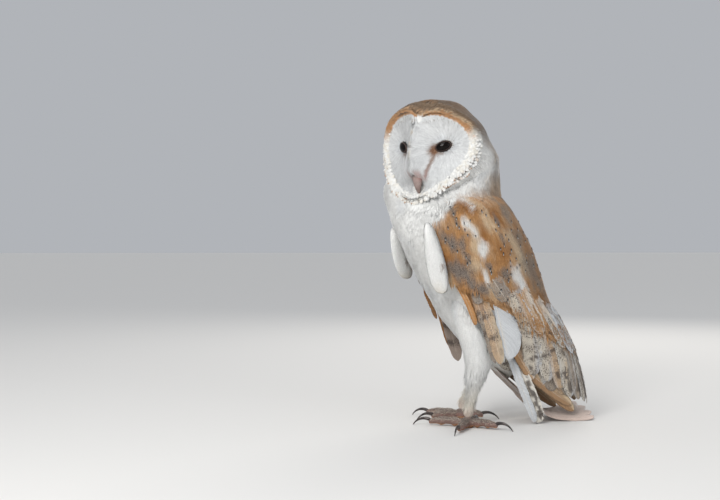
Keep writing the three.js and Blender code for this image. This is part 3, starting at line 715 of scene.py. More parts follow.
def addNode(nodes, kind, **values):
    node = nodes.new(kind)
    for key, value in values.items():
        if hasattr(node, key):
            setattr(node, key, value)
        else:
            node.inputs[key.replace("_", " ")].default_value = value
    return node


# Soft plumage: the painted tint, darkened and lightened by fine noise, with dark speckle where painted.
def plumageMaterial(name, roughness=0.85, sheen=0.25, speckleSize=1100, barbs=False):
    material, nodes, links, shader = newMaterial(name, roughness, 0.25)
    shader.inputs["Sheen Weight"].default_value = sheen
    shader.inputs["Sheen Roughness"].default_value = 0.5
    place = addNode(nodes, "ShaderNodeTexCoord")
    tint = addNode(nodes, "ShaderNodeAttribute", attribute_name="plumage")
    amount = addNode(nodes, "ShaderNodeAttribute", attribute_name="speckle")
    fine = addNode(nodes, "ShaderNodeTexNoise", Scale=700.0, Detail=3.0)
    vary = addNode(nodes, "ShaderNodeMapRange", From_Min=0.3, From_Max=0.7, To_Min=0.94, To_Max=1.04)
    shade = addNode(nodes, "ShaderNodeVectorMath", operation="SCALE")
    fleck = addNode(nodes, "ShaderNodeTexNoise", Scale=float(speckleSize), Detail=2.0)
    dots = addNode(nodes, "ShaderNodeMapRange", From_Min=0.52, From_Max=0.62)
    some = addNode(nodes, "ShaderNodeMath", operation="MULTIPLY")
    dark = addNode(nodes, "ShaderNodeMix", data_type="RGBA")
    dark.inputs["B"].default_value = (*(tones["soot"] * 2.2), 1)
    for node in (fine, fleck):
        links.new(place.outputs["Object"], node.inputs["Vector"])
    links.new(fine.outputs["Fac"], vary.inputs["Value"])
    links.new(tint.outputs["Color"], shade.inputs[0])
    links.new(vary.outputs["Result"], shade.inputs["Scale"])
    links.new(fleck.outputs["Fac"], dots.inputs["Value"])
    links.new(dots.outputs["Result"], some.inputs[0])
    links.new(amount.outputs["Fac"], some.inputs[1])
    links.new(some.outputs["Value"], dark.inputs["Factor"])
    links.new(shade.outputs["Vector"], dark.inputs["A"])
    links.new(dark.outputs["Result"], shader.inputs["Base Color"])
    bump = addNode(nodes, "ShaderNodeBump", Strength=0.35, Distance=0.0002)
    if barbs:  # slanting lines on either side of the shaft, from the vane's own map
        vaneMap = addNode(nodes, "ShaderNodeUVMap", uv_map="Vane")
        split = addNode(nodes, "ShaderNodeSeparateXYZ")
        outward = addNode(nodes, "ShaderNodeMath", operation="ABSOLUTE")
        slant = addNode(nodes, "ShaderNodeMath", operation="MULTIPLY_ADD")
        slant.inputs[1].default_value = -1.8
        line = addNode(nodes, "ShaderNodeMath", operation="MULTIPLY")
        line.inputs[1].default_value = 5.0
        wave = addNode(nodes, "ShaderNodeMath", operation="SINE")
        links.new(vaneMap.outputs["UV"], split.inputs["Vector"])
        links.new(split.outputs["X"], outward.inputs[0])
        links.new(outward.outputs["Value"], slant.inputs[0])
        links.new(split.outputs["Y"], slant.inputs[2])
        links.new(slant.outputs["Value"], line.inputs[0])
        links.new(line.outputs["Value"], wave.inputs[0])
        links.new(wave.outputs["Value"], bump.inputs["Height"])
        longer = addNode(nodes, "ShaderNodeMath", operation="MULTIPLY")
        longer.inputs[1].default_value = 0.12
        barbPlace = addNode(nodes, "ShaderNodeCombineXYZ")
        clumps = addNode(nodes, "ShaderNodeTexNoise", Scale=0.6, Detail=3.0)
        barb = addNode(nodes, "ShaderNodeMapRange", From_Min=0.32, From_Max=0.68, To_Min=0.85, To_Max=1.06)
        shaded = addNode(nodes, "ShaderNodeVectorMath", operation="SCALE")
        links.new(outward.outputs["Value"], longer.inputs[0])
        links.new(longer.outputs["Value"], barbPlace.inputs["X"])
        links.new(slant.outputs["Value"], barbPlace.inputs["Y"])
        links.new(barbPlace.outputs["Vector"], clumps.inputs["Vector"])
        links.new(clumps.outputs["Fac"], barb.inputs["Value"])
        links.new(dark.outputs["Result"], shaded.inputs[0])
        links.new(barb.outputs["Result"], shaded.inputs["Scale"])
        links.new(shaded.outputs["Vector"], shader.inputs["Base Color"])
    else:
        links.new(fine.outputs["Fac"], bump.inputs["Height"])
    links.new(bump.outputs["Normal"], shader.inputs["Normal"])
    return material


softPlumage = plumageMaterial("softPlumage", sheen=0.14)
vanePlumage = plumageMaterial("vanePlumage", roughness=0.6, sheen=0.12, speckleSize=820, barbs=True)


# ---- Coat: thin leaf-shaped tufts that lie along the skin ----

# Roots spread evenly over a patch of a surface: each small cell gets its area's share of them.
def scatter(surface, spanP, spanQ, spacing, keep=None, cells=260):
    p = np.linspace(*spanP, cells + 1)
    q = np.linspace(*spanQ, cells + 1)
    grid = surface(p[None, :], q[:, None], 0)
    across, down = grid[:-1, 1:] - grid[:-1, :-1], grid[1:, :-1] - grid[:-1, :-1]
    area = np.linalg.norm(np.cross(across, down), axis=-1)
    area[1::2] = area[1::2, ::-1]
    total = np.cumsum(area.ravel()) / spacing**2
    count = np.diff(np.floor(np.concatenate([[0], total]))).astype(int).reshape(cells, cells)
    count[1::2] = count[1::2, ::-1]
    row, column = np.divmod(np.repeat(np.arange(cells * cells), count.ravel()), cells)
    rootP = mix(spanP[0], spanP[1], (column + chance.random(len(row))) / cells)
    rootQ = mix(spanQ[0], spanQ[1], (row + chance.random(len(row))) / cells)
    if keep is not None:
        kept = keep(rootP, rootQ, surface(rootP, rootQ, 0))
        rootP, rootQ = rootP[kept], rootQ[kept]
    return rootP, rootQ


# How the two parameters change for one millimetre along the surface the way heading points:
# least squares on the surface's two tangents. The normal is their cross product, turned outwards.
def stepAlong(surface, p, q, heading):
    tiny = 1e-4
    here = surface(p, q, 0)
    overP, overQ = (surface(p + tiny, q, 0) - here) / tiny, (surface(p, q + tiny, 0) - here) / tiny
    a, b, c = (np.sum(x * y, -1) for x, y in ((overP, overP), (overP, overQ), (overQ, overQ)))
    u, v = np.sum(overP * heading, -1), np.sum(overQ * heading, -1)
    spread = a * c - b * b + 1e-9 * (a + c) ** 2
    stepP, stepQ = (c * u - b * v) / spread, (a * v - b * u) / spread
    moved = np.linalg.norm(overP * stepP[:, None] + overQ * stepQ[:, None], axis=-1) + 1e-9
    normal = unit(np.cross(overP, overQ))
    outwards = np.sum(normal * (surface(p, q, 0.5) - here), -1)
    return stepP / moved, stepQ / moved, normal * np.sign(outwards)[:, None]


leafRows = np.array([0.0, 0.5, 1.0])  # the way from root to tip of a tuft's three places
leafOrder = np.array([0, 2, 1, 0, 3, 2, 0, 1, 3, 1, 2, 4, 2, 3, 4, 3, 1, 4])
leafCounts = np.full(6, 3)


# Each tuft follows the surface from its root in the skin to its tip at the coat's height, as a
# closed leaf: a root, a ring of left edge, raised middle and right edge, and a tip.
def layCoat(name, surface, roots, heading, size, marks, unwrap, slotName):
    p, q = roots
    n = len(p)
    here = surface(p, q, 0)
    way = unit(heading(p, q, here)) + size["stray"] * chance.normal(size=(n, 3))
    stepP, stepQ, normal = stepAlong(surface, p, q, way)
    length = size["length"] * chance.uniform(0.7, 1.2, n)
    if "lengthAt" in size:
        length = length * size["lengthAt"](p, q, here)
    width = size["width"] * chance.uniform(0.75, 1.25, n)
    tip = size["lift"] + size["rough"] * chance.random(n)
    if "liftAt" in size:
        tip = tip + size["liftAt"](p, q, here)
    heights = -size["depth"] + np.outer(leafRows**0.6, tip + size["depth"])
    places = np.stack([
        surface(p + stepP * length * share, q + stepQ * length * share, height)
        for share, height in zip(leafRows, heights)])
    along = unit(places[2] - places[0])
    aside = unit(np.cross(along, normal))
    places[1] += aside * (size["bow"] * chance.normal(size=n))[:, None]
    half, crest = aside * (width / 2)[:, None], normal * (width * 0.25)[:, None]
    corners = np.stack([places[0], places[1] - half, places[1] + crest, places[1] + half, places[2]], 1)
    lean = aside * size.get("roundness", 0.25)
    normals = np.stack([normal, normal - lean, normal, normal + lean, normal], 1)
    rowOf = np.array([0, 1, 1, 1, 2])
    vary = chance.normal(1, size["vary"], n)
    jitter = chance.normal(size=(n, 3)) * size.get("smudge", 1.0)
    tints, speckles = [], []
    # painted shade: each tuft's colour is darkened towards its root, where it lies under the tufts around it
    for row, share in enumerate(leafRows):
        onward = max(share, 0.4)
        tint, speckle = marks(p + stepP * length * onward, q + stepQ * length * onward, places[row] + jitter)
        tints.append(tint * mix(size.get("paintedRootShade", 0.8), 1.02, share) * vary[:, None])
        speckles.append(speckle)
    tint = np.stack(tints)[rowOf].transpose(1, 0, 2).reshape(-1, 3)
    speckle = np.stack(speckles)[rowOf].T.ravel()
    patch = 0.0015 * np.array([(0, -1), (-1, 0), (0, 0.1), (1, 0), (0, 1)])
    bake = (unwrap(p, q)[:, None, :] + patch).reshape(-1, 2)
    order = (leafOrder + 5 * np.arange(n)[:, None]).ravel()
    mesh = meshFrom(name, corners.reshape(-1, 3), order, np.tile(leafCounts, n), normals.reshape(-1, 3), tint,
                    speckle, dict(OFBake=bake))
    return pieceFrom(mesh, softPlumage, slotName)


# Root places spread over the unit square by the two parameters of the skin under them.
def unwrapOver(spanP, spanQ):
    def unwrap(p, q):
        u, v = (p - spanP[0]) / (spanP[1] - spanP[0]), (q - spanQ[0]) / (spanQ[1] - spanQ[0])
        return 0.01 + 0.98 * np.clip(np.stack([u, v], -1), 0, 1)
    return unwrap


def straight(x, y, z):
    return lambda p, q, here: np.tile(np.array([x, y, z], float), (len(p), 1))


down = straight(0, 0, -1)
headBack = headPlace(0, 1, 0) - headPlace(0, 0, 0)


# A point's place in an eye's own frame: across its opening outwards, out along its axis, and up.
def inEye(points):
    side, depth, up = inHead(points)
    overSide, ahead = np.abs(side) - eye["side"], eye["plane"] - depth
    across = overSide * np.cos(eye["outward"]) - ahead * np.sin(eye["outward"])
    return across, ahead * np.cos(eye["outward"]) + overSide * np.sin(eye["outward"]), up


# How far out from an eye's middle a point is, where 1 is the edge of the lids' almond opening.
def fromEye(points):
    across, out, up = inEye(points)
    slanted = up - eye["slant"] * across
    height = eye["halfHeight"] * np.where(slanted < 0, 0.94, 1.0)
    return (np.abs(across / eye["halfWidth"]) ** 1.9 + np.abs(slanted / height) ** 1.9) ** (1 / 1.9)


def layFace():
    face = dict(length=7.5, width=0.55, depth=1.4, lift=0.1, rough=0.55, stray=0.08, vary=0.06, bow=0.15,
                smudge=0.4, roundness=0.3, paintedRootShade=0.9)
    spanP, spanQ = (-np.pi, np.pi), (0.01, 0.525)
    left = headPlace(1, 0, 0) - headPlace(0, 0, 0)
    upwards = headPlace(0, 0, 1) - headPlace(0, 0, 0)

    # away from the nearer eye; down and aside from the bridge
    def heading(p, q, here):
        side, depth, up = inHead(here)
        overSide, overUp = np.abs(side) - eye["side"], up
        reach = np.hypot(overSide, overUp) + 1e-6
        bridge = smooth(np.abs(side), 10, 3)
        aside = np.sign(side) * mix(overSide / reach, 0.1, bridge)
        rise = mix(overUp / reach, -1.0, bridge * smooth(up, 26, 10))
        return aside[:, None] * left + rise[:, None] * upwards

    def keep(p, q, here):
        side, depth, up = inHead(here)
        clearOfEye = fromEye(here) > 1.06
        clearOfBill = (np.abs(side) > 6.4 * smooth(up, -48, -36) * smooth(up, -20, -28)) | (up > -22)
        return clearOfEye & clearOfBill

    def lengthAt(p, q, here):
        side, depth, up = inHead(here)
        return mix(0.35, 1.0, smooth(fromEye(here), 1.0, 1.8)) * mix(0.7, 1, smooth(np.abs(side), 2, 8))

    # fuller on the bridge
    def liftAt(p, q, here):
        side, depth, up = inHead(here)
        return 1.6 * smooth(np.abs(side), 11, 3) * smooth(up, 20, 4) * smooth(up, -34, -20) * chance.random(len(p))

    face.update(lengthAt=lengthAt, liftAt=liftAt)
    roots = scatter(headSurface, spanP, spanQ, 0.5, keep)
    layCoat("coatFace", headSurface, roots, heading, face, lambda p, q, at: faceMarks(at),
            unwrapOver(spanP, spanQ), "feather_face")


def layHead():
    crown = dict(length=9, width=0.95, depth=2.4, lift=0.1, rough=0.45, stray=0.09, vary=0.08, bow=0.3, smudge=0.7)
    spanP, spanQ = (-np.pi, np.pi), (0.54, 0.995)

    # longer and fuller low at the back, where they run on over the neck
    def fuller(low, high):
        def byPlace(p, q, here):
            side, depth, up = inHead(here)
            return mix(low, high, smooth(depth, 28, 60) * smooth(up, 20, -8))
        return byPlace

    crown.update(lengthAt=fuller(1, 1.7), liftAt=fuller(0, 0.1))
    roots = scatter(headFilled, spanP, spanQ, 0.75, lambda p, q, here: fromTrunk(here) > -3)
    layCoat("coatHead", headFilled, roots, lambda p, q, here: np.tile(headBack + (0, 0, -0.9), (len(p), 1)),
            crown, lambda p, q, at: crownMarks(at), unwrapOver(spanP, spanQ), "feather_crown")


def layBody():
    breast = dict(length=14, width=1.15, depth=3.6, lift=0.1, rough=0.4, stray=0.05, vary=0.025, bow=0.5,
                  roundness=0.2, paintedRootShade=0.92)
    parts = dict(
        coatNeck=((-np.pi, np.pi), (200, 268), 0.9, "feather_white"),
        coatBreast=((-1.5, 1.5), (118, 201), 0.82, "feather_white"),
        coatBelly=((-np.pi, np.pi), (44.5, 120), 0.95, "feather_white"))

    def keep(p, q, here):
        thinning = 202 + 14 * chance.random(len(p)) ** 2
        edge = frontEdge(q) + 0.16 + 0.1 * chance.normal(size=len(p))
        underWing = (np.abs(p) > edge) & (q < thinning) & (q > 70)
        return (fromHead(here) > -3) & ~underWing

    # loose folds down the breast and belly
    def folds(p, q, here):
        stretched = here * np.array([1, 1, 0.22])
        return 1.3 * softNoise(stretched, 9, 51) * smooth(q, 205, 190) + 0.5 * softNoise(here, 5, 52)

    for name, (spanP, spanQ, spacing, slotName) in parts.items():
        surface = neckFilled if name == "coatNeck" else trunkSurface
        roots = scatter(surface, spanP, spanQ, spacing, keep)
        layCoat(name, surface, roots, down, dict(breast, liftAt=folds), lambda p, q, at: bodyMarks(p, q, at),
                unwrapOver(spanP, spanQ), slotName)


# Height of the coverts' lower edge by the angle round the body.
def covertLine(angle):
    return np.interp(angle / degree, [40, 60, 75, 88, 100, 118, 180], [138, 134, 128, 119, 113, 105, 100])


def layWings():
    covert = dict(length=11, width=1.1, depth=3.0, lift=0.3, rough=0.5, stray=0.06, vary=0.07, bow=0.3, smudge=0.7)
    spanP, spanQ = (38 * degree, 181 * degree), (72, 216)
    for name, side in sides:
        surface = cloakSurface(side)

        def keep(p, q, here):
            sparse = 30 * (chance.random(len(p)) ** 3) * smooth(p, 84 * degree, 96 * degree)
            behind = smooth(p, 105 * degree, 130 * degree) * 11 * softNoise(here * np.array([1, 1, 0.2]), 9, 76)
            ragged = 9 * chance.random(len(p)) ** 2 + 5 * softNoise(here, 6, 71) - sparse + behind
            loose = 0.05 * softNoise(here, 5, 72) + 0.03 * chance.normal(size=len(p))
            top = 217 - 15 * chance.random(len(p)) ** 2 + 5 * softNoise(here, 7, 77)
            return (q < top) & (p > frontEdge(q) - 0.01 + loose) & (q > covertLine(p) + ragged) & ~insideHead(here, 2.5)

        # its front edge stands out over the thigh
        def overThigh(p, q, here):
            onVanes = 1.4 * smooth(q - covertLine(p), 4, -6)
            return 4 * smooth(q, 150, 126) * smooth(p, 85 * degree, 60 * degree) + onVanes

        size = dict(covert, liftAt=overThigh)
        roots = scatter(surface, spanP, spanQ, 0.74, keep)
        layCoat(f"coatWing.{name}", surface, roots, straight(0, 0.1, -1), size,
                lambda p, q, at: wingMarks(side, p, q, at), unwrapOver(spanP, spanQ), "feather_golden")


# Black-and-white drops on the coverts: small closed leaves, dark with a pale tip.
def layDrops():
    drop = dict(length=3.2, width=1.45, lift=0.75)
    rows = np.array([0, 0.35, 0.72, 1.0])
    swell = np.array([0.25, 0.95, 0.8, 0.2])
    tones3 = np.stack([tones["soot"], tones["soot"] * 0.7, mix(tones["soot"], tones["white"], 0.35), tones["white"] * 0.8])
    for name, side in sides:
        surface = cloakSurface(side)
        spots = np.array(wingDrops, float)
        if side < 0:
            spots += chance.normal(size=spots.shape) * (2, 2.5)
        p, q = spots[:, 0] * degree, spots[:, 1]
        n = len(p)
        stepP, stepQ, normal = stepAlong(surface, p, q, np.tile([0, 0.1, -1.0], (n, 1)))
        length = drop["length"] * chance.uniform(0.7, 1.25, n)
        width = drop["width"] * chance.uniform(0.7, 1.2, n)
        places = [surface(p + stepP * length * t, q + stepQ * length * t, drop["lift"]) for t in rows]
        aside = unit(np.cross(places[-1] - places[0], normal))
        grid = []
        for place, wide in zip(places, swell):
            half, up = aside * (width * wide / 2)[:, None], normal * 0.3
            grid.append(np.stack([place - half, place + up, place + half, place - up], 1))
        corners = np.stack(grid, 1).reshape(n, -1, 3)
        order, counts = stackedRings(n, len(rows))
        tint = np.broadcast_to(np.repeat(tones3, 4, 0), (n, 16, 3)).reshape(-1, 3)
        spot = unwrapOver((38 * degree, 181 * degree), (99, 216))(p, q)
        patch = 0.0015 * np.array([(x, y) for y in (-1, -0.3, 0.3, 1) for x in (-0.5, 0, 0.5, 0)])
        bake = (spot[:, None] + patch).reshape(-1, 2)
        mesh = meshFrom(f"dropSpots.{name}", corners.reshape(-1, 3), order, counts, None, tint, np.zeros(len(tint)),
                        dict(OFBake=bake))
        pieceFrom(mesh, softPlumage, "feather_golden")


# Faces of many small closed leaves, each of some rings of four corners with its ends closed.
def stackedRings(n, rows):
    ring = np.arange(4)
    turned = (ring + 1) % 4
    walls = [np.stack([k + ring, k + turned, k + 4 + turned, k + 4 + ring], -1).ravel() for k in range(0, 4 * rows - 4, 4)]
    last = 4 * rows - 4
    faces = np.concatenate([*walls, [3, 2, 1, 0], [last, last + 1, last + 2, last + 3]])
    order = (faces + 4 * rows * np.arange(n)[:, None]).ravel()
    return order, np.full(len(order) // 4, 4)


def layLegs():
    thigh = dict(length=12, width=1.05, depth=2.6, lift=0.1, rough=0.5, stray=0.07, vary=0.03, bow=0.5,
                 roundness=0.2, paintedRootShade=0.92)
    tarsus = dict(length=8, width=0.55, depth=1.0, lift=0.1, rough=1.1, stray=0.3, vary=0.07, bow=0.6,
                  paintedRootShade=0.9)
    thigh["lengthAt"] = lambda p, q, here: mix(0.55, 1, smooth(q, 36, 62))
    thigh["liftAt"] = lambda p, q, here: 4 * smooth(q, 78, 40) * chance.random(len(p)) ** 6
    tarsus["liftAt"] = lambda p, q, here: 3.6 * chance.random(len(p)) ** 6
    parts = dict(coatThigh=(thigh, (30, 148), 0.8), coatTarsus=(tarsus, (10, 50), 0.62))
    spanP = (-np.pi, np.pi)
    for name, side in sides:
        surface = legSurface(feet[name])

        def keep(p, q, here):
            behindWing = (q > 74) & (here[:, 1] > mix(2, -24, smooth(q, 74, 130))) & (side * np.sin(p) > 0)
            return ~insideSections(trunkStations, here, squareness["trunk"], 2) & ~behindWing

        for part, (size, span, spacing) in parts.items():
            roots = scatter(surface, spanP, span, spacing, keep)
            layCoat(f"{part}.{name}", surface, roots, straight(0, 0.05, -1), size,
                    lambda p, q, at: legMarks(q, at), unwrapOver(spanP, span), "feather_white")


# Sparse pale bristles on the toes.
def layBristles():
    bristle = dict(length=3.4, width=0.3, depth=0.3, lift=0.1, rough=0.9, stray=0.35, vary=0.1, bow=0.2)
    spanP, spanQ = (0.1, np.pi - 0.1), (0.04, 0.84)
    shade = mix(tones["cream"], tones["toe"], 0.45)
    for name, side in sides:
        for toe, (direction, reach) in feet[name]["toes"].items():
            forwards = toePlace(feet[name], direction, 1, 0, 5) - toePlace(feet[name], direction, 0, 0, 5)
            surface = toeSurface(feet[name], direction, reach)
            roots = scatter(surface, spanP, spanQ, 1.15)
            layCoat(f"bristles.{name}.{toe}", surface, roots, straight(*forwards), bristle,
                    lambda p, q, at: (np.tile(shade, (len(p), 1)), np.zeros(len(p))),
                    unwrapOver(spanP, spanQ), "toe_skin")


def layWrists():
    bar = dict(length=9, width=0.9, depth=2.0, lift=0.1, rough=0.25, stray=0.04, vary=0.025, bow=0.2,
               roundness=0.2, paintedRootShade=0.92)
    spanP, spanQ = (-np.pi, np.pi), (0.02, 0.985)
    for name, side in sides:
        surface = wristSurface(name, side)
        roots = scatter(surface, spanP, spanQ, 0.66)
        layCoat(f"coatWrist.{name}", surface, roots, down, bar,
                lambda p, q, at: wristMarks(name, q, at), unwrapOver(spanP, spanQ), "feather_white")


# ---- Ruff: rows of short curled feathers round the disc ----

# Fine short feathers that lie out over the disc's rim, golden over the brow.
def layRim():
    rim = dict(length=3.0, width=1.05, depth=0.8, lift=0.5, rough=0.9, stray=0.22, vary=0.09, bow=0.2, smudge=0.3,
               paintedRootShade=0.85)
    spanP, spanQ = (-np.pi, np.pi), (0.468, 0.585)

    def heading(p, q, here):
        outward = here - headPlace(0, 0, -6)
        outward = unit(outward - np.outer(outward @ headBack, headBack))
        return outward + headBack * mix(0.1, 1.4, smooth(q, 0.5, 0.57))[:, None]

    # two low rolls along the brow; flatter below, where the curled feathers lie over it
    def rolls(p, q, here):
        brow = smooth(np.abs(p), 110 * degree, 60 * degree)
        return 0.9 * np.abs(np.sin(np.pi * (q - 0.468) / 0.052)) * brow - 0.7 * (1 - brow)

    rim["liftAt"] = rolls
    roots = scatter(headSurface, spanP, spanQ, 0.52)
    layCoat("coatRim", headSurface, roots, heading, rim,
            lambda p, q, at: ruffMarks(p, (q - 0.468) / 0.117, 1.0, at), unwrapOver(spanP, spanQ), "feather_face")


# A small white tuft that stands up in the notch of the brow.
def layNotch():
    tuft = dict(length=3.6, width=0.8, depth=0.6, lift=1.0, rough=1.6, stray=0.1, vary=0.04, bow=0.2, paintedRootShade=0.95)
    spanP, spanQ = (11 * degree, 17 * degree), (0.39, 0.445)
    upwards = headPlace(0, 0, 1) - headPlace(0, 0, 0)
    roots = scatter(headSurface, spanP, spanQ, 0.42, None, 40)
    layCoat("notchTuft", headSurface, roots, straight(*upwards), tuft,
            lambda p, q, at: (np.tile(tones["white"], (len(p), 1)), np.zeros(len(p))),
            unwrapOver(spanP, spanQ), "feather_face")


# Each small feather is a closed leaf of five rings, lying back over the rim with its tip curled up.
def layRuff():
    ruff = dict(rows=6, length=4.3, width=2.7, spacing=1.75, start=0.482, stop=0.572, depth=0.4)
    spanP = (-np.pi, np.pi)
    count = int(2 * np.pi * 44 / ruff["spacing"])
    row = np.repeat(np.linspace(0, 1, ruff["rows"]), count)
    n = len(row)
    p = np.tile(np.linspace(-np.pi, np.pi, count, endpoint=False), ruff["rows"]) + chance.normal(0, 0.016, n)
    p = np.mod(p + np.floor(row * ruff["rows"]) * np.pi / count + np.pi, 2 * np.pi) - np.pi
    stop = mix(ruff["stop"], 0.547, smooth(np.abs(p), 115 * degree, 145 * degree))
    q = mix(ruff["start"], stop, row) + chance.normal(0, 0.0035, n)
    kept = np.abs(p) + 0.1 * chance.normal(size=n) > 82 * degree
    p, q, row, n = p[kept], q[kept], row[kept], int(kept.sum())
    here = headSurface(p, q, 0)
    outward = here - headPlace(0, 0, -6)
    outward = unit(outward - np.outer(outward @ headBack, headBack))
    hanging = smooth(np.abs(p), 95 * degree, 140 * degree)
    back = mix(mix(0.25, 1.3, row), mix(-0.05, 0.3, row), hanging)
    way = unit(outward + headBack * back[:, None] + 0.12 * chance.normal(size=(n, 3)))
    normal = unit(np.cross(way, np.cross(0.7 * outward - headBack, way)))
    aside = np.cross(way, normal)
    low = smooth(np.abs(p), 80 * degree, 125 * degree)
    length = ruff["length"] * chance.uniform(0.8, 1.2, n) * mix(0.7, 1.05, low)
    width = ruff["width"] * chance.uniform(0.75, 1.2, n) * mix(0.7, 1.0, low)
    curl = mix(0.1, 0.55, low) * chance.uniform(0.2, 1.5, n)
    root = here - normal * ruff["depth"]
    rows = np.array([0, 0.3, 0.6, 0.85, 1.0])
    grid, tints, facing = [], [], []
    for t in rows:
        rise = 0.8 + 0.8 * hanging + 0.35 * np.sin(2.2 * t) + curl * t**2
        spot = root + way * (length * (t - 0.12 * t**3))[:, None] + normal * rise[:, None]
        half = aside * (width / 2 * np.sqrt(max(0.03, 1 - abs(2 * t - 1) ** 2.6)))[:, None]
        grid.append(np.stack([spot - half, spot + normal * 0.3, spot + half, spot - normal * 0.2], 1))
        facing.append(np.stack([normal - 0.3 * aside, normal, normal + 0.3 * aside, normal - way], 1))
        # painted shade: each ruff feather a little darker towards its root, where it tucks under the row before
        tint = ruffMarks(p, row, t, spot)[0] * mix(0.95, 1.02, t) * chance.normal(1, 0.03, n)[:, None]
        tints.append(np.repeat(tint[:, None], 4, 1))
    corners, tint = np.stack(grid, 1).reshape(-1, 3), np.stack(tints, 1).reshape(-1, 3)
    order, counts = stackedRings(n, len(rows))
    patch = 0.0015 * np.array([(x, y) for y in 2 * rows - 1 for x in (-0.5, 0, 0.5, 0)])
    bake = (unwrapOver(spanP, (0.46, 0.59))(p, q)[:, None] + patch).reshape(-1, 2)
    facing = np.stack(facing, 1).reshape(-1, 3)
    mesh = meshFrom("ruff", corners, order, counts, facing, tint, np.zeros(len(tint)), dict(OFBake=bake))
    pieceFrom(mesh, softPlumage, "feather_face")


# ---- Long feathers: cambered vanes with a raised shaft ----

vaneColumns = np.array([-1, -0.86, -0.66, -0.44, -0.22, -0.07, 0, 0.07, 0.22, 0.44, 0.66, 0.86, 1.0])


# A vane as a closed thin sheet: rows along its middle line, columns from edge to edge bent round
# a camber, a raised shaft, edges nicked by noise and a rounded tip.
def vaneGrid(line, normals, feather, seed):
    rows = len(line)
    t = np.linspace(0, 1, rows)
    along = unit(np.gradient(line, axis=0))
    normal = unit(normals - along * np.sum(normals * along, -1, keepdims=True))
    aside = np.cross(normal, along)
    aside = aside * np.sign(aside[:, 1].sum())  # the outer web in front, the inner behind
    turned = np.sum(np.cross(along, aside) * normal) < 0
    tipStart = feather.get("tipStart", 0.74)
    flare = mix(1 - feather.get("flare", 0), 1, smooth(t, 0.2, 0.75))
    profile = flare * smooth(t, -0.15, 0.22) * np.sqrt(np.clip(1 - np.clip((t - tipStart) / (1 - tipStart), 0, 1) ** 2.2, 0.006, 1))
    grid = []
    camber = feather.get("camber", 46)
    for column in vaneColumns:
        reach = feather["inner"] if column > 0 else feather["outer"]
        rough = softNoise(np.stack([t * 40, t * 0 + column, t * 0], -1), 1.5, seed)
        nick = 1 - 0.07 * np.abs(column) * (rough + 1)
        offset = column * reach * profile * nick
        drop = camber * (1 - np.cos(offset / camber))
        slide = camber * np.sin(offset / camber)
        rise = 0.45 * np.exp(-((column / 0.06) ** 2)) * (1 - 0.7 * t)
        grid.append(line + aside * slide[:, None] + normal * (rise - drop)[:, None])
    top = np.stack(grid, 1)
    thick = feather.get("thick", 0.5) * (1 - 0.75 * np.abs(vaneColumns) ** 2)[None, :] * (1 - 0.4 * t)[:, None]
    bottom = top - normal[:, None] * thick[..., None]
    grid = np.concatenate([top, bottom[:, ::-1]], 1)
    return grid, turned
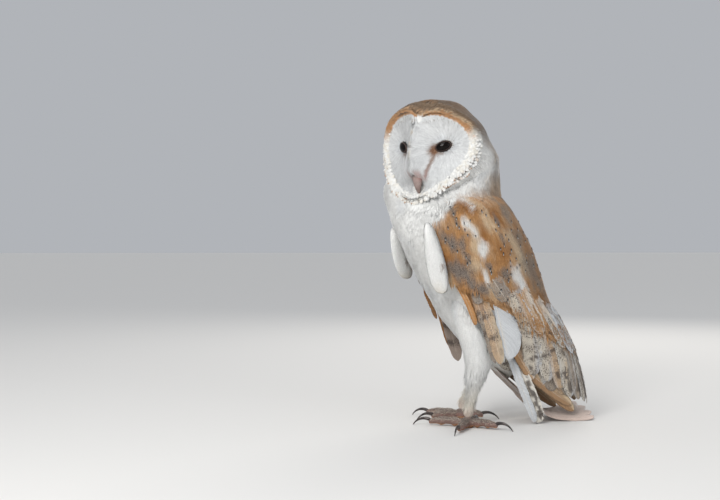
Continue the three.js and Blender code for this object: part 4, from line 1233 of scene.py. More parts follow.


# The colour of a vane by its own two shares: ground, bars, pale edges and shaft.
def vaneTint(feather, t, column, points, seed):
    look = feather["look"]
    cloud = softNoise(points, 7, seed + 40)
    streak = softNoise(np.stack([column * 3, t * 1.4, t * 0 + seed], -1), 0.6, 41)
    ground = dict(
        barred=mix(mix(tones["golden"], tones["pale"], 0.5), tones["ash"], 0.3), white=mix(tones["white"], tones["cool"], 0.6) * 0.9,
        golden=mix(tones["golden"], tones["buff"], 0.4), mottled=mix(tones["cream"], tones["ash"], 0.42),
        dusky=mix(tones["drab"], tones["ash"], 0.6), pinkish=mix(tones["pink"], tones["ash"], 0.55),
        primary=mix(tones["golden"], tones["drab"], 0.45), tail=mix(tones["pink"], tones["white"], 0.12),
        orange=mix(tones["golden"], tones["rust"], 0.3), blotched=mix(tones["cream"], tones["white"], 0.4))[look]
    inner = dict(barred=mix(tones["pale"], tones["ash"], 0.4), mottled=mix(tones["cool"], tones["ash"], 0.45),
                 golden=mix(tones["pale"], tones["cool"], 0.4), dusky=tones["ash"], primary=tones["pale"],
                 tail=mix(tones["pink"], tones["white"], 0.5)).get(look, ground)
    tint = blendTone(np.broadcast_to(ground, points.shape), inner, smooth(column, 0.0, 0.6))
    tint = blendTone(tint, tones["pale"], smooth(streak, 0.1, 0.9) * 0.35 * (look not in ("white", "tail")))
    underCoverts = look in ("mottled", "dusky", "barred", "golden")
    tint = blendTone(tint, tones["golden"], smooth(t + 0.15 * cloud, 0.5, 0.2) * 0.55 * underCoverts)
    tint = blendTone(tint, tones["ash"], smooth(cloud, 0.0, 0.9) * 0.5 * (look in ("mottled", "golden", "dusky")))
    pepper = softNoise(points, 2.6, seed + 60) + 0.5 * cloud
    tint = blendTone(tint, tones["grey"], smooth(pepper, 0.1, 0.8) * 0.45 * (look in ("mottled", "barred", "dusky")))
    tint = blendTone(tint, tones["cool"] * 0.8, smooth(streak, 0.1, 0.9) * 0.35 * (look == "white"))
    speckle = dict(barred=0.5, mottled=0.95, dusky=0.6, golden=0.5, primary=0.25, white=0.03).get(look, 0.0)
    speckle = speckle * smooth(column, 0.9, 0.3) * smooth(cloud, -0.9, 0.2)
    for at in feather.get("bars", ()):
        apart = np.abs(t - at + 0.02 * cloud + 0.02 * np.abs(column))
        bar = smooth(apart, 0.042, 0.01) * mix(0.35, 1, smooth(column, 0.15, -0.05))
        tint = blendTone(tint, tones["soot"] * 2.2, bar * 0.75)
        speckle = np.maximum(speckle, 0.8 * smooth(apart, 0.07, 0.02))
    for at, where, size in feather.get("blotches", ()):
        blot = np.hypot((t - at) / (size * 0.022), (column - where) / (size * 0.2))
        blot = blot + 0.7 * softNoise(points, 2.2, seed + 50)
        tint = blendTone(tint, tones["soot"] * 1.8, smooth(blot, 1.2, 0.7) * 0.85)
    if feather.get("whiteEdge"):
        tint = blendTone(tint, tones["white"], smooth(column + 0.1 * cloud, -0.62, -0.86) * feather["whiteEdge"])
    if feather.get("darkEdge"):
        tint = blendTone(tint, tones["soot"] * 2, smooth(np.abs(column), 0.72, 0.98) * feather["darkEdge"])
    shaft = np.exp(-((column / 0.05) ** 2)) * smooth(t, 1, 0.8)
    return blendTone(tint, mix(tones["pale"], tones["white"], 0.4), shaft * 0.55), np.clip(speckle, 0, 1)


# Several vanes as one piece; each has its own patch of the piece's map.
def makeVanes(name, vanes, material, slotName, stands=()):
    corners, tints, speckles, bakes, vaneMaps, order, start = [], [], [], [], [], [], 0
    across = int(np.ceil(np.sqrt(len(vanes))))
    for number, (line, normals, feather) in enumerate(vanes):
        grid, turnedOver = vaneGrid(line, normals, feather, number)
        rows, columns = grid.shape[:2]
        t = np.broadcast_to(np.linspace(0, 1, rows)[:, None], (rows, columns))
        column = np.broadcast_to(np.concatenate([vaneColumns, vaneColumns[::-1]]), (rows, columns))
        tint, speckle = vaneTint(feather, t, column, grid, number * 3 + feather.get("seed", 0))
        # painted shade: each vane's lower face is its upper face's colour made 12% darker
        under = np.concatenate([np.zeros(13), np.ones(13)])[None, :, None]
        tints.append((tint * (1 - 0.12 * under)).reshape(-1, 3))
        speckles.append(speckle.ravel())
        ring = np.arange(rows * columns).reshape(rows, columns)
        turned = np.roll(ring, -1, 1)
        quads = np.stack([ring[:-1], turned[:-1], turned[1:], ring[1:]], -1).reshape(-1, 4)
        last = columns - 1
        caps = [np.stack([e[:12], e[1:13], e[last - 1:last - 13:-1], e[last:last - 12:-1]], -1) for e in (ring[0], ring[-1][::1])]
        caps[0] = caps[0][:, ::-1]
        faces = np.concatenate([quads, *caps])
        faces = faces[:, ::-1] if turnedOver else faces
        corners.append(grid.reshape(-1, 3))
        order.append(faces.ravel() + start)
        start += rows * columns
        size = np.linalg.norm(np.diff(line, axis=0), axis=-1).sum()
        vaneMaps.append(np.stack([column * feather["inner"] * 0.7, t * size + 200 * number], -1).reshape(-1, 2))
        cellAt = np.array([number % across, number // across]) / across
        sheet = np.where(np.arange(columns) < 13, 0.0, 0.5)
        u = (column + 1) / 2 * 0.44 + sheet + 0.02
        bakes.append(((cellAt + np.stack([u, t * 0.94 + 0.03], -1) / across)).reshape(-1, 2))
    order = np.concatenate(order)
    maps = dict(OFBake=np.concatenate(bakes), Vane=np.concatenate(vaneMaps))
    mesh = meshFrom(name, np.concatenate(corners), order, np.full(len(order) // 4, 4), None,
                    np.concatenate(tints), np.concatenate(speckles), maps)
    return pieceFrom(mesh, material, slotName, stands)


# Loose barbs along both edges of vanes: thin closed leaves that leave the vane at a slant.
def layFringe(name, vanes, slotName):
    barb = dict(length=5.5, width=0.9, spacing=0.8, out=0.2, vary=0.05)
    across = int(np.ceil(np.sqrt(len(vanes))))
    corners, normalsOut, tints, speckles, bakes = [], [], [], [], []
    for number, (line, normals, feather) in enumerate(vanes):
        top = vaneGrid(line, normals, feather, number)[0][:, :13]
        size = np.linalg.norm(np.diff(line, axis=0), axis=-1).sum()
        for edge, inward in ((0, 2), (12, 10)):
            n = int(0.8 * size / barb["spacing"])
            t = chance.uniform(0.2, 0.975, n)
            at = t * (len(line) - 1)
            low = at.astype(int)
            share = (at - low)[:, None]
            outer = mix(top[low, edge], top[low + 1, edge], share)
            within = mix(top[low, inward], top[low + 1, inward], share)
            along = unit(top[low + 1, edge] - top[low, edge])
            normal = unit(normals[low])
            root = mix(within, outer, chance.uniform(0.2, 0.8, n)[:, None])
            web = feather["inner" if edge else "outer"]
            length = (min(barb["length"], 0.7 * web) * chance.uniform(0.5, 1.2, n) * smooth(t, 1.1, 0.8))[:, None]
            aside = unit(outer - within)
            way = unit(along + aside * barb["out"] * chance.uniform(0.2, 1.6, n)[:, None])
            half = unit(np.cross(way, normal)) * barb["width"] / 2
            lifted = normal * chance.uniform(0.1, 0.6, n)[:, None]
            middle = root + way * length * 0.5 + lifted
            tip = root + way * length + lifted * 0.7
            corners.append(np.stack([root - normal * 0.2, middle - half, middle + normal * 0.2, middle + half, tip], 1))
            normalsOut.append(np.repeat(normal[:, None], 5, 1))
            column = np.full(n, (-0.8, 0.8)[edge > 0])
            tint, speckle = vaneTint(feather, t, column, root, number * 3 + feather.get("seed", 0))
            tints.append(np.repeat((tint * chance.normal(1, barb["vary"], n)[:, None])[:, None], 5, 1))
            speckles.append(np.repeat(speckle[:, None], 5, 1))
            cellAt = np.array([number % across, number // across]) / across
            spot = cellAt + np.stack([(column + 1) / 2 * 0.44 + 0.02, t * 0.94 + 0.03], -1) / across
            patch = 0.0015 * np.array([(0, -1), (-1, 0), (0, 0.1), (1, 0), (0, 1)])
            bakes.append(spot[:, None] + patch)
    corners = np.concatenate(corners)
    n = len(corners)
    order = (leafOrder + 5 * np.arange(n)[:, None]).ravel()
    mesh = meshFrom(name, corners.reshape(-1, 3), order, np.tile(leafCounts, n),
                    np.concatenate(normalsOut).reshape(-1, 3), np.concatenate(tints).reshape(-1, 3),
                    np.concatenate(speckles).ravel(), dict(OFBake=np.concatenate(bakes).reshape(-1, 2)))
    return pieceFrom(mesh, softPlumage, slotName)


# A feather's middle line on a surface, from its places there, with the surface's normals.
def lineOn(surface, feather, rows=56):
    t = np.linspace(0, 1, rows)
    path = curveThrough(np.array(feather["path"], float), t)
    lift = -mix(feather["under"] + 7, feather["under"], smooth(t, 0, 0.4))  # its root dips under the coverts
    scale = degree if feather.get("inDegrees", True) else 1.0
    line = surface(path[:, 0] * scale, path[:, 1], lift)
    normal = stepAlong(surface, path[:, 0] * scale, path[:, 1], np.tile([0, 0, -1.0], (rows, 1)))[2]
    return line, normal


# The folded wing's long feathers: places as angle and height, webs in front of and behind the
# shaft, and how far each lies under the cloak.
wingFeathers = [
    dict(path=[(104, 124), (94, 97), (84, 74), (68, 46)], outer=10, inner=10, under=1.4, look="mottled",
         blotches=((0.8, 0.1, 2.0), (0.9, -0.4, 1.6))),
    dict(path=[(112, 122), (104, 96), (94, 70), (80, 40)], outer=9, inner=10, under=1.1, look="mottled",
         whiteEdge=0.3, bars=(0.72,)),
    dict(path=[(122, 122), (113, 94), (104, 66), (89, 32)], outer=9, inner=10, under=0.8, look="barred",
         whiteEdge=0.35, bars=(0.62,), blotches=((0.74, 0.3, 2.0), (0.86, -0.2, 1.8))),
    dict(path=[(130, 120), (123, 92), (114, 62), (100, 24)], outer=10, inner=10, under=0.5, look="mottled",
         whiteEdge=0.3, blotches=((0.6, 0.2, 2.4), (0.8, -0.3, 2.6), (0.9, 0.2, 2.6))),
    dict(path=[(139, 118), (134, 90), (128, 60), (116, 21)], outer=10, inner=10, under=0.3, look="dusky",
         whiteEdge=0.3, blotches=((0.9, 0.2, 2.4),)),
    dict(path=[(150, 118), (147, 88), (143, 56), (134, 18)], outer=10, inner=10, under=0.1, look="mottled",
         whiteEdge=0.5, bars=(0.55, 0.8)),
    dict(path=[(163, 118), (163, 88), (161, 54), (154, 15)], outer=10, inner=9, under=-0.1, look="barred",
         whiteEdge=0.4, bars=(0.45, 0.65, 0.85)),
    # shorter feathers over their roots
    dict(path=[(80, 144), (84, 132), (88, 117)], outer=7, inner=8, under=-0.4, look="dusky"),
    dict(path=[(93, 138), (95, 118), (92, 88)], outer=8, inner=8, under=-0.6, look="mottled"),
    dict(path=[(101, 140), (103, 118), (100, 86)], outer=7, inner=8, under=-0.8, look="golden", whiteEdge=0.4),
    dict(path=[(117, 132), (115, 108), (112, 78)], outer=7, inner=8, under=-0.8, look="golden",
         blotches=((0.84, 0.1, 4.0),)),
    dict(path=[(126, 124), (124, 102), (121, 72)], outer=8, inner=8, under=-0.9, look="mottled", whiteEdge=0.4),
    dict(path=[(135, 124), (134, 98), (132, 66)], outer=8, inner=9, under=-1.0, look="white"),
    dict(path=[(147, 122), (147, 98), (146, 68)], outer=9, inner=9, under=-1.1, look="mottled", whiteEdge=0.5),
    dict(path=[(160, 122), (161, 98), (161, 66)], outer=9, inner=9, under=-1.2, look="golden", whiteEdge=0.4),
    dict(path=[(174, 122), (174, 98), (174, 66)], outer=9, inner=6, under=-1.3, look="dusky"),
]
# The wing's front feathers, that hang flat over the thigh: lines in space.
frontFeathers = [
    dict(line=[(43.5, -2, 128), (44, 8, 100), (42, 17, 66)], across=(0.1, 1, 0.1), outer=10, inner=9, dip=8,
         look="white"),
    dict(line=[(46, 4, 130), (46, 9, 108), (45, 14.5, 87), (43.5, 22, 62)], across=(0, 1, 0.05), outer=4,
         inner=22, dip=2, look="white", camber=90, tipStart=0.62, flare=0.5),
    dict(line=[(46.2, -15, 138), (46.4, -8.5, 110), (45.2, 0.5, 87), (43, 9, 60)], across=(0.1, 1, 0.1), outer=4,
         inner=4.5, dip=6, look="dusky", bars=(0.38, 0.66), tipStart=0.8),
    dict(line=[(46.8, -10, 138), (47, -3, 110), (46, 6, 86), (44, 14, 59)], across=(0.08, 1, 0.1), outer=5.6,
         inner=6, dip=8, look="barred", bars=(0.42, 0.7), tipStart=0.78),
    dict(line=[(44.5, -29, 138), (45, -22, 120), (45, -16, 107), (44, -11, 95)], across=(0.3, 1, 0.1), outer=2,
         inner=3, dip=8, look="orange"),
    dict(line=[(46, -22, 146), (46.5, -15, 132), (46.5, -9, 114)], across=(0.25, 1, 0.1), outer=4.5, inner=5.5,
         dip=8, look="dusky", bars=(0.75,)),
    dict(line=[(48, 1, 150), (48.5, 4, 138), (48, 8, 122)], across=(0.1, 1, 0.05), outer=5.5, inner=6,
         dip=8, look="mottled"),
]
# Feathers that stand free: middle line in space, the way the width runs, and webs.
primaries = [
    dict(line=[(29.5, 36, 74), (26, 58, 46), (21.5, 80, 27), (17.5, 103, 9)], across=(0.25, 0.55, 0.8), outer=6,
         inner=7, look="primary", darkEdge=0.5, camber=60, tipStart=0.75),
    dict(line=[(32, 30, 76), (29, 50, 50), (24.5, 73, 32), (20, 99, 15)], across=(0.25, 0.55, 0.8), outer=5.5,
         inner=7, look="primary", darkEdge=0.5, camber=60, tipStart=0.75),
    dict(line=[(34, 30, 76), (32, 42, 58), (28.5, 54, 42)], across=(0.25, 0.7, 0.6), outer=5,
         inner=7, look="golden", darkEdge=0.5, camber=60, tipStart=0.7),
]
hangingPrimary = [
    dict(line=[(21, 31, 82), (28.5, 43, 47), (28, 55, 21), (26, 63, 1.5)], across=(0.2, 1, 0.3), outer=6.5,
         inner=7, look="blotched", camber=24, tipStart=0.7,
         blotches=((0.44, 0.4, 2.6), (0.55, 0.1, 2.4), (0.62, 0.6, 2.2), (0.7, 0.2, 2.8), (0.78, 0.6, 2.4),
                   (0.85, 0.2, 2.6), (0.92, 0.5, 2.0))),
    dict(line=[(23, 26, 82), (31, 37, 46), (30, 49, 19), (27.5, 57, 2)], across=(0.3, 1, 0.2), outer=3.6,
         inner=4, look="white", camber=24, tipStart=0.7),
]
hangingSecondary = [
    dict(line=[(46, -9, 126), (42.5, -2, 95), (32.5, 5, 55)], across=(0.3, 1, 0), outer=9, inner=9.5,
         look="pinkish", camber=60, bars=(0.4, 0.6, 0.8)),
    dict(line=[(46.5, -14, 124), (44, -7, 97), (38, -1, 68)], across=(0.3, 1, 0), outer=5, inner=8,
         look="orange", camber=60, darkEdge=0.4),
]


def straightLine(feather, side, rows=44, outwards=0):
    line = curveThrough(np.array(feather["line"], float) + (outwards, 0, 0), np.linspace(0, 1, rows))
    line[:, 0] -= feather.get("dip", 0) * smooth(np.linspace(0, 1, rows), 0.4, 0)
    across = np.tile(unit(np.array(feather["across"], float)), (rows, 1))
    normal = unit(np.cross(unit(np.gradient(line, axis=0)), across))
    normal = normal * np.sign(normal[:, :1])
    mirror = np.array([side, 1, 1])
    return line * mirror, normal * mirror


def layLongFeathers():
    for name, side in sides:
        surface = cloakSurface(side)
        vanes = []
        for number in range(11):  # a bed of wide feathers that closes the gaps between the ones above
            top = 64 + 11 * number
            low = dict(path=[(top, 122), (top - 6, 94), (top - 14, 66), (top - 26, 24 + 26 * smooth(top, 130, 60))],
                       outer=12, inner=12, under=4.2, look=("mottled", "dusky", "barred")[number % 3], bars=(0.5, 0.7, 0.86))
            vanes.append((*lineOn(surface, low), low))
        vanes += [(*lineOn(surface, feather), feather) for feather in wingFeathers]
        outwards = 0 if side > 0 else 5  # the right thigh stands further out
        vanes += [(*straightLine(feather, side, 40, outwards), feather) for feather in frontFeathers]
        makeVanes(f"flightFeathers.{name}", vanes, vanePlumage, "feather_flight", [f"wing_secondaries_{name}"])
        layFringe(f"flightFringe.{name}", vanes[11:], "feather_flight")
        free = [(*straightLine(feather, side), feather) for feather in primaries]
        makeVanes(f"primaries.{name}", free, vanePlumage, "feather_flight", [f"wing_primaries_{name}"])
    left = [(*straightLine(feather, 1), feather) for feather in hangingPrimary]
    makeVanes("hangingPrimary", left, vanePlumage, "feather_tail", ["wing_hanging_primary_left"])
    layFringe("hangingFringe", left, "feather_tail")
    right = [(*straightLine(feather, -1), feather) for feather in hangingSecondary]
    makeVanes("hangingSecondary", right, vanePlumage, "feather_flight", ["wing_hanging_secondary_right"])


def layTail():
    fan = dict(feathers=10, spread=0.66, web=8.5)
    vanes = []
    for number in range(fan["feathers"]):
        share = 2 * number / (fan["feathers"] - 1) - 1
        path = [(share * fan["spread"] * (0.35 + 0.65 * d), d) for d in (0.0, 0.3, 0.65, 1.0 - 0.03 * (number % 3))]
        feather = dict(path=path, outer=fan["web"], inner=fan["web"], under=0.2 + 0.25 * number, look="tail",
                       inDegrees=False, camber=22, tipStart=0.9, darkEdge=0.2)
        vanes.append((*lineOn(tailSurface, feather, 50), feather))
    makeVanes("tailFeathers", vanes, vanePlumage, "feather_tail", ["tail"])


# ---- Skin ----

# A toe in its own frame: forward along it, sideways and up.
def toePlace(place, direction, forward, sideways, up):
    ahead, aside = np.cos(direction * degree), np.sin(direction * degree)
    x = place["x"] + place["side"] * (forward * aside + sideways * ahead)
    y = place["y"] - forward * ahead + sideways * aside
    return np.stack(np.broadcast_arrays(x, y, np.maximum(0, up)), -1)


# A toe: a tube that tapers, swollen at its joints, with round pads below and scutes across its top.
def toeSurface(place, direction, reach):
    def surface(around, along, lift=0):
        share = (1 - np.cos(np.pi * along)) / 2
        forward = mix(0, reach, share)
        under, top = np.maximum(0, -np.sin(around)), np.maximum(0, np.sin(around))
        joints = np.cos(6 * np.pi * share)
        pads = mix(1.12, 0.86, share) + 0.06 * joints + 0.24 * under * np.maximum(0, joints)
        scutes = 0.3 * top * np.abs(np.sin(np.pi * forward / 2.3)) ** 0.6
        scales = 0.16 * (1 - top) * np.sin(around * 9) * np.sin(np.pi * forward / 1.3)
        r = foot["toeRadius"] * pads + scutes + scales + lift - 0.1
        r = r * np.sqrt(np.clip(1 - np.abs(2 * share - 1) ** 6, 0, 1))
        level = foot["toeRadius"] + 0.4 + 1.6 * np.sin(np.pi * share)
        return toePlace(place, direction, forward, r * np.cos(around), level + r * 1.05 * np.sin(around))
    return surface


def footSurface(place):
    def surface(around, along, lift=0):
        r = (foot["ballRadius"] + lift) * np.sin(np.pi * along)
        half = foot["ballHeight"] / 2
        z = half + (half + lift + 1.5) * np.cos(np.pi * along)
        return np.stack(np.broadcast_arrays(place["x"] + r * np.cos(around), place["y"] + r * np.sin(around),
                                            np.maximum(0, z)), -1)
    return surface


# A folded wing's flesh: a closed shell round the shoulder between two depths under the cloak.
def wingFlesh(side, rows=40, columns=56):
    surface = cloakSurface(side)
    z = np.linspace(101, 212, rows)[:, None]
    around = np.linspace(0, 2 * np.pi, columns, endpoint=False)[None, :]
    across = np.clip(0.5 + 0.62 * -np.cos(around), 0, 1)
    angle = mix(frontEdge(z) + 0.03, 178 * degree, across)
    edge = np.sqrt(np.clip(1 - np.abs(2 * across - 1) ** 8, 0.02, 1))
    deep = mix(5, 17, smooth(z, 100, 190)) * edge
    under = 3.2 + (1 - edge) * 2 + np.where(np.sin(around) > 0, 0, 1) * deep
    return surface(angle, z, -under)


# From an eye's own frame to the bird's: across its opening, out along its axis, and up.
def eyePlace(side, across, out, up):
    c, s = np.cos(eye["outward"]), np.sin(eye["outward"])
    sideways = side * (eye["side"] + across * c + out * s)
    return headPlace(sideways, eye["plane"] + across * s - out * c, up + eye["slant"] * across)


# How far the ball stands out at a place of its opening: half an ellipsoid, a little wider than the lids.
def ballOut(across, up):
    share = np.hypot(across / (eye["halfWidth"] * eye["ballAcross"]), up / (eye["halfHeight"] * eye["ballUp"]))
    return eye["bulge"] * (np.sqrt(np.clip(1 - share**2, 0, 1)) - 0.5)


# Lids: a thin ring on the ball from the almond opening out under the small feathers.
def lidRing(side):
    around = np.linspace(-np.pi, np.pi, 72, endpoint=False)[None, :]

    def surface(spread, over):
        power = 2 / 1.9
        across = eye["halfWidth"] * np.sign(np.cos(around)) * np.abs(np.cos(around)) ** power * spread
        up = eye["halfHeight"] * np.sign(np.sin(around)) * np.abs(np.sin(around)) ** power * spread
        onBall = ballOut(np.minimum(spread, 1.1) / spread * across, np.minimum(spread, 1.1) / spread * up)
        fold = 0.25 * np.exp(-(((spread - 1.12) / 0.04) ** 2))
        out = mix(onBall, -2.0, smooth(spread, 1.05, 1.3)) + over - fold
        return eyePlace(side, across, out, up)
    outwards = np.linspace(0.985, 1.45, 16)[:, None]
    outer, inner = surface(outwards, 0.3), surface(outwards[::-1], -0.9)
    return np.concatenate([outer, inner, outer[:1]])


# Closed grids melted into one even skin by a voxel remesh and a little smoothing.
def melted(name, grids, voxel, smoothing):
    mesh = meshFrom(name, *joinGrids(grids))
    piece = bpy.data.objects.new(name, mesh)
    bpy.context.scene.collection.objects.link(piece)
    remesh = piece.modifiers.new("even", "REMESH")
    remesh.mode = "VOXEL"
    remesh.voxel_size = voxel / 1000
    soften = piece.modifiers.new("soften", "SMOOTH")
    soften.iterations = smoothing
    bpy.context.view_layer.update()
    found = bpy.data.meshes.new_from_object(piece.evaluated_get(bpy.context.evaluated_depsgraph_get()))
    corners = np.empty(len(found.vertices) * 3, np.float32)
    found.vertices.foreach_get("co", corners)
    order = np.empty(len(found.loops), np.int32)
    found.loops.foreach_get("vertex_index", order)
    counts = np.empty(len(found.polygons), np.int32)
    found.polygons.foreach_get("loop_total", counts)
    bpy.data.objects.remove(piece)
    bpy.data.meshes.remove(found)
    bpy.data.meshes.remove(mesh)
    return corners.reshape(-1, 3).astype(float) * 1000 - shift, order, counts


# Bare skin of the feet: grey-brown above, pinker at the sides, ochre pads below.
def footMarks(points):
    cloud, fleck = softNoise(points, 3, 31), softNoise(points, 0.9, 32)
    tint = blendTone(tones["toe"], tones["flush"] * 0.75, smooth(cloud + 0.6 * fleck, 0.0, 0.9) * 0.6)
    tint = blendTone(tint, tones["grey"] * 0.8, smooth(points[:, 2] + cloud, 5.2, 7.2) * 0.75)
    return blendTone(tint, tones["pad"], smooth(points[:, 2] + 0.7 * cloud, 3.4, 1.8) * 0.9)


# The markings of whatever part of the coat covers a point of the skin.
def skinMarks(points):
    x, y, z = points.T
    side = np.where(x > 0, 1, -1)
    axis = sizeAt(cloakStations, "y", z)
    angle = np.arctan2(np.abs(x), axis - y)
    tint = bodyMarks(angle, z, points)[0]
    onWing = (angle > frontEdge(z)) & (z < 212) & (z > 96)
    wing = wingMarks(1, angle, z, points)[0]
    tint = np.where(onWing[:, None], wing, tint)
    sideways, depth, up = inHead(points)
    nearHead = insideHead(points, -2) & (z > 205)
    tint = np.where(nearHead[:, None], crownMarks(points)[0], tint)
    onFace = nearHead & (depth < discEdgeDepth(sideways) + 5)
    tint = np.where(onFace[:, None], faceMarks(points)[0], tint)
    tint = blendTone(tint, tones["lid"], onFace * smooth(fromEye(points), 1.3, 1.15))
    low = (z < 60) & (y < 34)
    tint = np.where(low[:, None], legMarks(z, points)[0], tint)
    return blendTone(tint, footMarks(points), smooth(z, 13, 8) * (y < 50))


skinMaterialSizes = dict(scale=900.0, roughness=0.62)


def makeSkin():
    coatDepth = dict(trunk=3.8, head=2.4, leg=2.8, tarsus=1.0, wrist=2.2)
    body = [
        lowToHigh(trunkSurface, 70, 72, 46, 268, -coatDepth["trunk"]),
        poleToPole(headSurface, 90, 96, -coatDepth["head"]),
    ]
    paws = []
    for name, side in sides:
        place = feet[name]
        leg = legSurface(place)
        body.append(lowToHigh(leg, 34, 32, 14, 132, -coatDepth["leg"]))
        body.append(poleToPole(wristSurface(name, side), 30, 32, -coatDepth["wrist"]))
        body.append(wingFlesh(side))
        paws.append(lowToHigh(leg, 20, 32, 9.5, 44, -coatDepth["tarsus"]))
        paws.append(poleToPole(footSurface(place), 30, 36))
        for direction, reach in place["toes"].values():
            paws.append(poleToPole(toeSurface(place, direction, reach), 90, 36))
    found = [melted("bodySkin", body, 2.3, 2), melted("footSkin", paws, 0.58, 1)]
    lids = [joinRing(lidRing(side)) for _, side in sides]
    found += lids
    corners, order, counts, start = [], [], [], 0
    for points, faceOrder, faceCounts in found:
        corners.append(points)
        order.append(faceOrder + start)
        counts.append(faceCounts)
        start += len(points)
    corners, order, counts = np.concatenate(corners), np.concatenate(order), np.concatenate(counts)
    tint = skinMarks(corners)
    lidCount = sum(len(points) for points, _, _ in lids)
    tint[-lidCount:] = tones["lid"] * (1 + 0.25 * softNoise(corners[-lidCount:], 1.5, 35))[:, None]
    mesh = meshFrom("skin", corners, order, counts, None, tint, np.zeros(len(corners)))
    material, nodes, links, shader = newMaterial("bareSkin", skinMaterialSizes["roughness"], 0.4)
    place = addNode(nodes, "ShaderNodeTexCoord")
    tintNode = addNode(nodes, "ShaderNodeAttribute", attribute_name="plumage")
    scales = addNode(nodes, "ShaderNodeTexVoronoi", Scale=skinMaterialSizes["scale"])
    shade = addNode(nodes, "ShaderNodeMapRange", From_Min=0.0, From_Max=0.7, To_Min=1.12, To_Max=0.72)
    scaled = addNode(nodes, "ShaderNodeVectorMath", operation="SCALE")
    bump = addNode(nodes, "ShaderNodeBump", Strength=0.6, Distance=0.0004)
    bump.invert = True
    links.new(place.outputs["Object"], scales.inputs["Vector"])
    links.new(scales.outputs["Distance"], shade.inputs["Value"])
    links.new(tintNode.outputs["Color"], scaled.inputs[0])
    links.new(shade.outputs["Result"], scaled.inputs["Scale"])
    links.new(scaled.outputs["Vector"], shader.inputs["Base Color"])
    links.new(scales.outputs["Distance"], bump.inputs["Height"])
    links.new(bump.outputs["Normal"], shader.inputs["Normal"])
    flesh = ["facial_disc", "head", "neck", "trunk"]
    for name, _ in sides:
        flesh += [f"{part}_{name}" for part in ("thigh", "tarsus", "foot", "wing_wrist", "wing_coverts", "wing_scapulars")]
        flesh += [f"toe_{toe}_{name}" for toe in feet[name]["toes"]]
    pieceFrom(mesh, material, "feather_white", flesh)


# A tube of rows that meets itself both ways, such as the ring of a lid.
def joinRing(grid):
    grid = grid[:-1]
    rows, columns = grid.shape[:2]
    number = np.arange(rows * columns).reshape(rows, columns)
    below, turned = np.roll(number, -1, 0), np.roll(number, -1, 1)
    both = np.roll(below, -1, 1)
    quads = np.stack([number, turned, both, below], -1).reshape(-1, 4)
    corners = grid.reshape(-1, 3)
    p, q, r, s = (corners[quads[:, k]] for k in range(4))
    volume = np.einsum("ij,ij->", p, np.cross(q, r)) + np.einsum("ij,ij->", p, np.cross(r, s))
    quads = quads if volume > 0 else quads[:, ::-1]
    return corners, quads.ravel(), np.full(len(quads), 4)


# ---- Eyes, bill and claws ----

def makeEyes():
    material, nodes, links, shader = newMaterial("wetEye", 0.05, 0.13)
    place = addNode(nodes, "ShaderNodeTexCoord")
    depth = addNode(nodes, "ShaderNodeTexNoise", Scale=260.0, Detail=3.0)
    tint = addNode(nodes, "ShaderNodeMix", data_type="RGBA")
    tint.inputs["A"].default_value = (0.002, 0.0015, 0.0015, 1)
    tint.inputs["B"].default_value = (0.008, 0.005, 0.004, 1)
    links.new(place.outputs["Object"], depth.inputs["Vector"])
    links.new(depth.outputs["Fac"], tint.inputs["Factor"])
    links.new(tint.outputs["Result"], shader.inputs["Base Color"])
    for name, side in sides:
        def ball(around, along, lift=0):
            across = eye["halfWidth"] * eye["ballAcross"] * np.sin(np.pi * along) * np.cos(around)
            up = eye["halfHeight"] * eye["ballUp"] * np.sin(np.pi * along) * np.sin(around)
            out = eye["bulge"] * (-np.cos(np.pi * (1 - along)) - 0.5)
            return eyePlace(side, across, out + 0 * around, up)
        corners, order, counts = joinGrids([poleToPole(ball, 48, 64, 0, 0.01)])
        pieceFrom(meshFrom(f"eyeball.{name}", corners, order, counts), material, "eye_black", [f"eye_{name}"])


# The bill: a hooked, keeled cone that narrows from its feathered root to its tip.
def billSurface(lower):
    def surface(around, along, lift=0):
        top = bill["gape"] if lower else bill["top"]
        tip = bill["tip"] + (3.5 if lower else 0)
        up = mix(top, tip, (1 - np.cos(np.pi * along)) / 2)
        fall = (bill["top"] - up) / (bill["top"] - bill["tip"])
        size = np.sqrt(np.clip(1 - fall, 0, 1)) * smooth(fall, -0.15, 0.2) * np.sqrt(np.clip(along * 5, 0, 1))
        keel = np.abs(np.sin(around)) ** 1.25 * np.sign(np.sin(around))
        half = bill["depth"] * (1 - 0.6 * fall) * size / 2
        front = -bill["front"] + bill["hook"] * fall**3
        sideways = bill["halfWidth"] * size * keel * (0.82 if lower else 1)
        shape = half - half * np.cos(around) * (0.75 if lower else 1)
        return headPlace(sideways, front + shape + (half * 0.7 if lower else 0), up)
    return surface


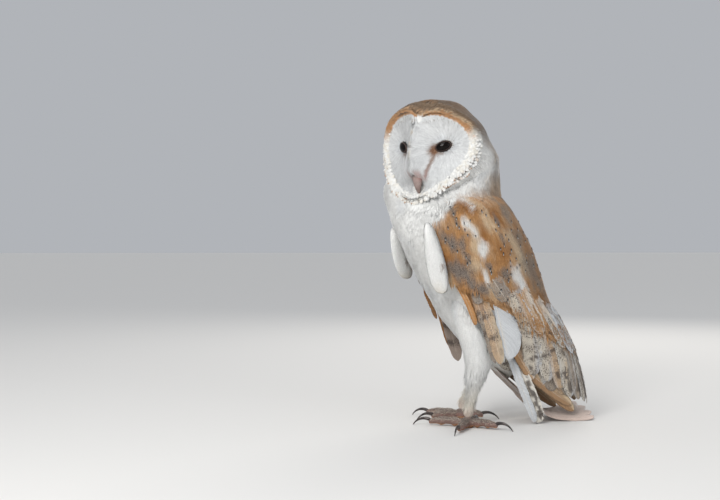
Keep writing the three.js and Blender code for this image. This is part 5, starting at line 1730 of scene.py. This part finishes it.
def makeBill():
    material, nodes, links, shader = newMaterial("billHorn", 0.34, 0.5)
    place = addNode(nodes, "ShaderNodeTexCoord")
    tint = addNode(nodes, "ShaderNodeAttribute", attribute_name="plumage")
    grain = addNode(nodes, "ShaderNodeTexNoise", Scale=420.0, Detail=4.0)
    vary = addNode(nodes, "ShaderNodeMapRange", From_Min=0.3, From_Max=0.7, To_Min=0.85, To_Max=1.1)
    shade = addNode(nodes, "ShaderNodeVectorMath", operation="SCALE")
    bump = addNode(nodes, "ShaderNodeBump", Strength=0.25, Distance=0.0003)
    links.new(place.outputs["Object"], grain.inputs["Vector"])
    links.new(grain.outputs["Fac"], vary.inputs["Value"])
    links.new(tint.outputs["Color"], shade.inputs[0])
    links.new(vary.outputs["Result"], shade.inputs["Scale"])
    links.new(shade.outputs["Vector"], shader.inputs["Base Color"])
    links.new(grain.outputs["Fac"], bump.inputs["Height"])
    links.new(bump.outputs["Normal"], shader.inputs["Normal"])
    for name, node, lower in (("billUpper", "bill_upper", False), ("billLower", "bill_lower", True)):
        corners, order, counts = joinGrids([poleToPole(billSurface(lower), 70, 48, 0, 0.002)])
        side, depth, up = inHead(corners)
        horn = blendTone(np.array([0.36, 0.27, 0.245]), np.array([0.25, 0.18, 0.16]), smooth(up, -30, -44))
        cere = smooth(up, -34, -26) * smooth(depth, 1.5, 5)
        tint = blendTone(horn, np.array([0.38, 0.13, 0.11]), cere * 0.8)
        mesh = meshFrom(name, corners, order, counts, None, tint)
        pieceFrom(mesh, material, "bill_horn", [node])


# A claw: a cone bent through most of a quarter circle, its tip just on the floor.
def clawSurface(place, direction, reach):
    bend, rise = 1.75, 0.55
    radius = foot["clawLength"] / bend

    def surface(around, along, lift=0):
        r = foot["clawRadius"] * (1.05 - 0.92 * along) * np.sqrt(np.clip(np.minimum((1 - along) * 12, along * 8), 0, 1))
        out = radius + r * np.cos(around) * 1.1
        turned = rise - bend * along
        return toePlace(place, direction, reach - 3 + radius * np.sin(rise) - out * np.sin(turned),
                        r * np.sin(around), foot["toeRadius"] + 1.2 - radius * np.cos(rise) + out * np.cos(turned))
    return surface


def makeClaws():
    material, nodes, links, shader = newMaterial("clawHorn", 0.3, 0.5)
    place = addNode(nodes, "ShaderNodeTexCoord")
    grain = addNode(nodes, "ShaderNodeTexNoise", Scale=350.0, Detail=4.0)
    tint = addNode(nodes, "ShaderNodeMix", data_type="RGBA")
    tint.inputs["A"].default_value = (0.018, 0.013, 0.012, 1)
    tint.inputs["B"].default_value = (0.10, 0.075, 0.065, 1)
    vary = addNode(nodes, "ShaderNodeMapRange", From_Min=0.4, From_Max=0.75)
    bump = addNode(nodes, "ShaderNodeBump", Strength=0.3, Distance=0.0003)
    links.new(place.outputs["Object"], grain.inputs["Vector"])
    links.new(grain.outputs["Fac"], vary.inputs["Value"])
    links.new(vary.outputs["Result"], tint.inputs["Factor"])
    links.new(tint.outputs["Result"], shader.inputs["Base Color"])
    links.new(grain.outputs["Fac"], bump.inputs["Height"])
    links.new(bump.outputs["Normal"], shader.inputs["Normal"])
    for name, _ in sides:
        grids = [poleToPole(clawSurface(feet[name], *toe), 40, 20, 0, 0.01) for toe in feet[name]["toes"].values()]
        corners, order, counts = joinGrids(grids)
        pieceFrom(meshFrom(f"claws.{name}", corners, order, counts), material, "claw_horn",
                  [f"claw_{toe}_{name}" for toe in feet[name]["toes"]])


# ---- Stage: floor, lights and camera ----

def makeStage():
    bpy.ops.mesh.primitive_plane_add(size=120)
    floor = bpy.context.object
    floor.name = "floor"
    material, nodes, links, shader = newMaterial("paleFloor", 0.9, 0.2)
    shader.inputs["Base Color"].default_value = (0.74, 0.73, 0.71, 1)
    floor.data.materials.append(material)
    floor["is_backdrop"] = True
    world = bpy.data.worlds.new("studio")
    world.use_nodes = True
    world.node_tree.nodes["Background"].inputs["Color"].default_value = (0.80, 0.83, 0.88, 1)
    world.node_tree.nodes["Background"].inputs["Strength"].default_value = 0.55
    bpy.context.scene.world = world
    lamps = dict(
        key=dict(at=(0.8, -0.85, 0.75), energy=8.5, size=0.4, colour=(1, 0.985, 0.96)),
        fill=dict(at=(1.3, 0.5, 0.5), energy=2.5, size=0.8, colour=(0.95, 0.97, 1)),
        rim=dict(at=(-0.9, 0.7, 0.9), energy=5, size=0.6, colour=(1, 0.96, 0.9)))
    sun = bpy.data.lights.new("daylight", "SUN")  # even light on the floor as far as it can be seen
    sun.energy, sun.angle = 0.75, 0.5
    holder = bpy.data.objects.new("daylight", sun)
    bpy.context.scene.collection.objects.link(holder)
    holder.rotation_euler = (0.5, 0.35, 0)
    for name, lamp in lamps.items():
        light = bpy.data.lights.new(name, "AREA")
        light.energy, light.size, light.color = lamp["energy"], lamp["size"], lamp["colour"]
        holder = bpy.data.objects.new(name, light)
        bpy.context.scene.collection.objects.link(holder)
        holder.location = lamp["at"]
        holder.rotation_euler = (Vector((0, 0, 0.15)) - Vector(lamp["at"])).to_track_quat("-Z", "Y").to_euler()
    bpy.context.scene.view_settings.view_transform = "Standard"


def makeCamera():
    view = dict(at=(919.9, -404.7, 162.6), azimuth=72, lens=53.2, sensor=36)
    camera = bpy.data.cameras.new("camera")
    camera.lens, camera.sensor_width = view["lens"], view["sensor"]
    holder = bpy.data.objects.new("camera", camera)
    bpy.context.scene.collection.objects.link(holder)
    holder.location = (np.array(view["at"]) + shift) / 1000
    holder.rotation_euler = (90 * degree, 0, view["azimuth"] * degree)
    bpy.context.scene.camera = holder


makeCamera()
makeStage()
makeSkin()
makeEyes()
makeBill()
makeClaws()
layFace()
layRim()
layRuff()
layNotch()
layHead()
layBody()
layWings()
layDrops()
layWrists()
layLegs()
layBristles()
layLongFeathers()
layTail()
print("owl dressed")

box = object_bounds()
[[list(corner) for corner in pair] for pair in (cadBox, box)]
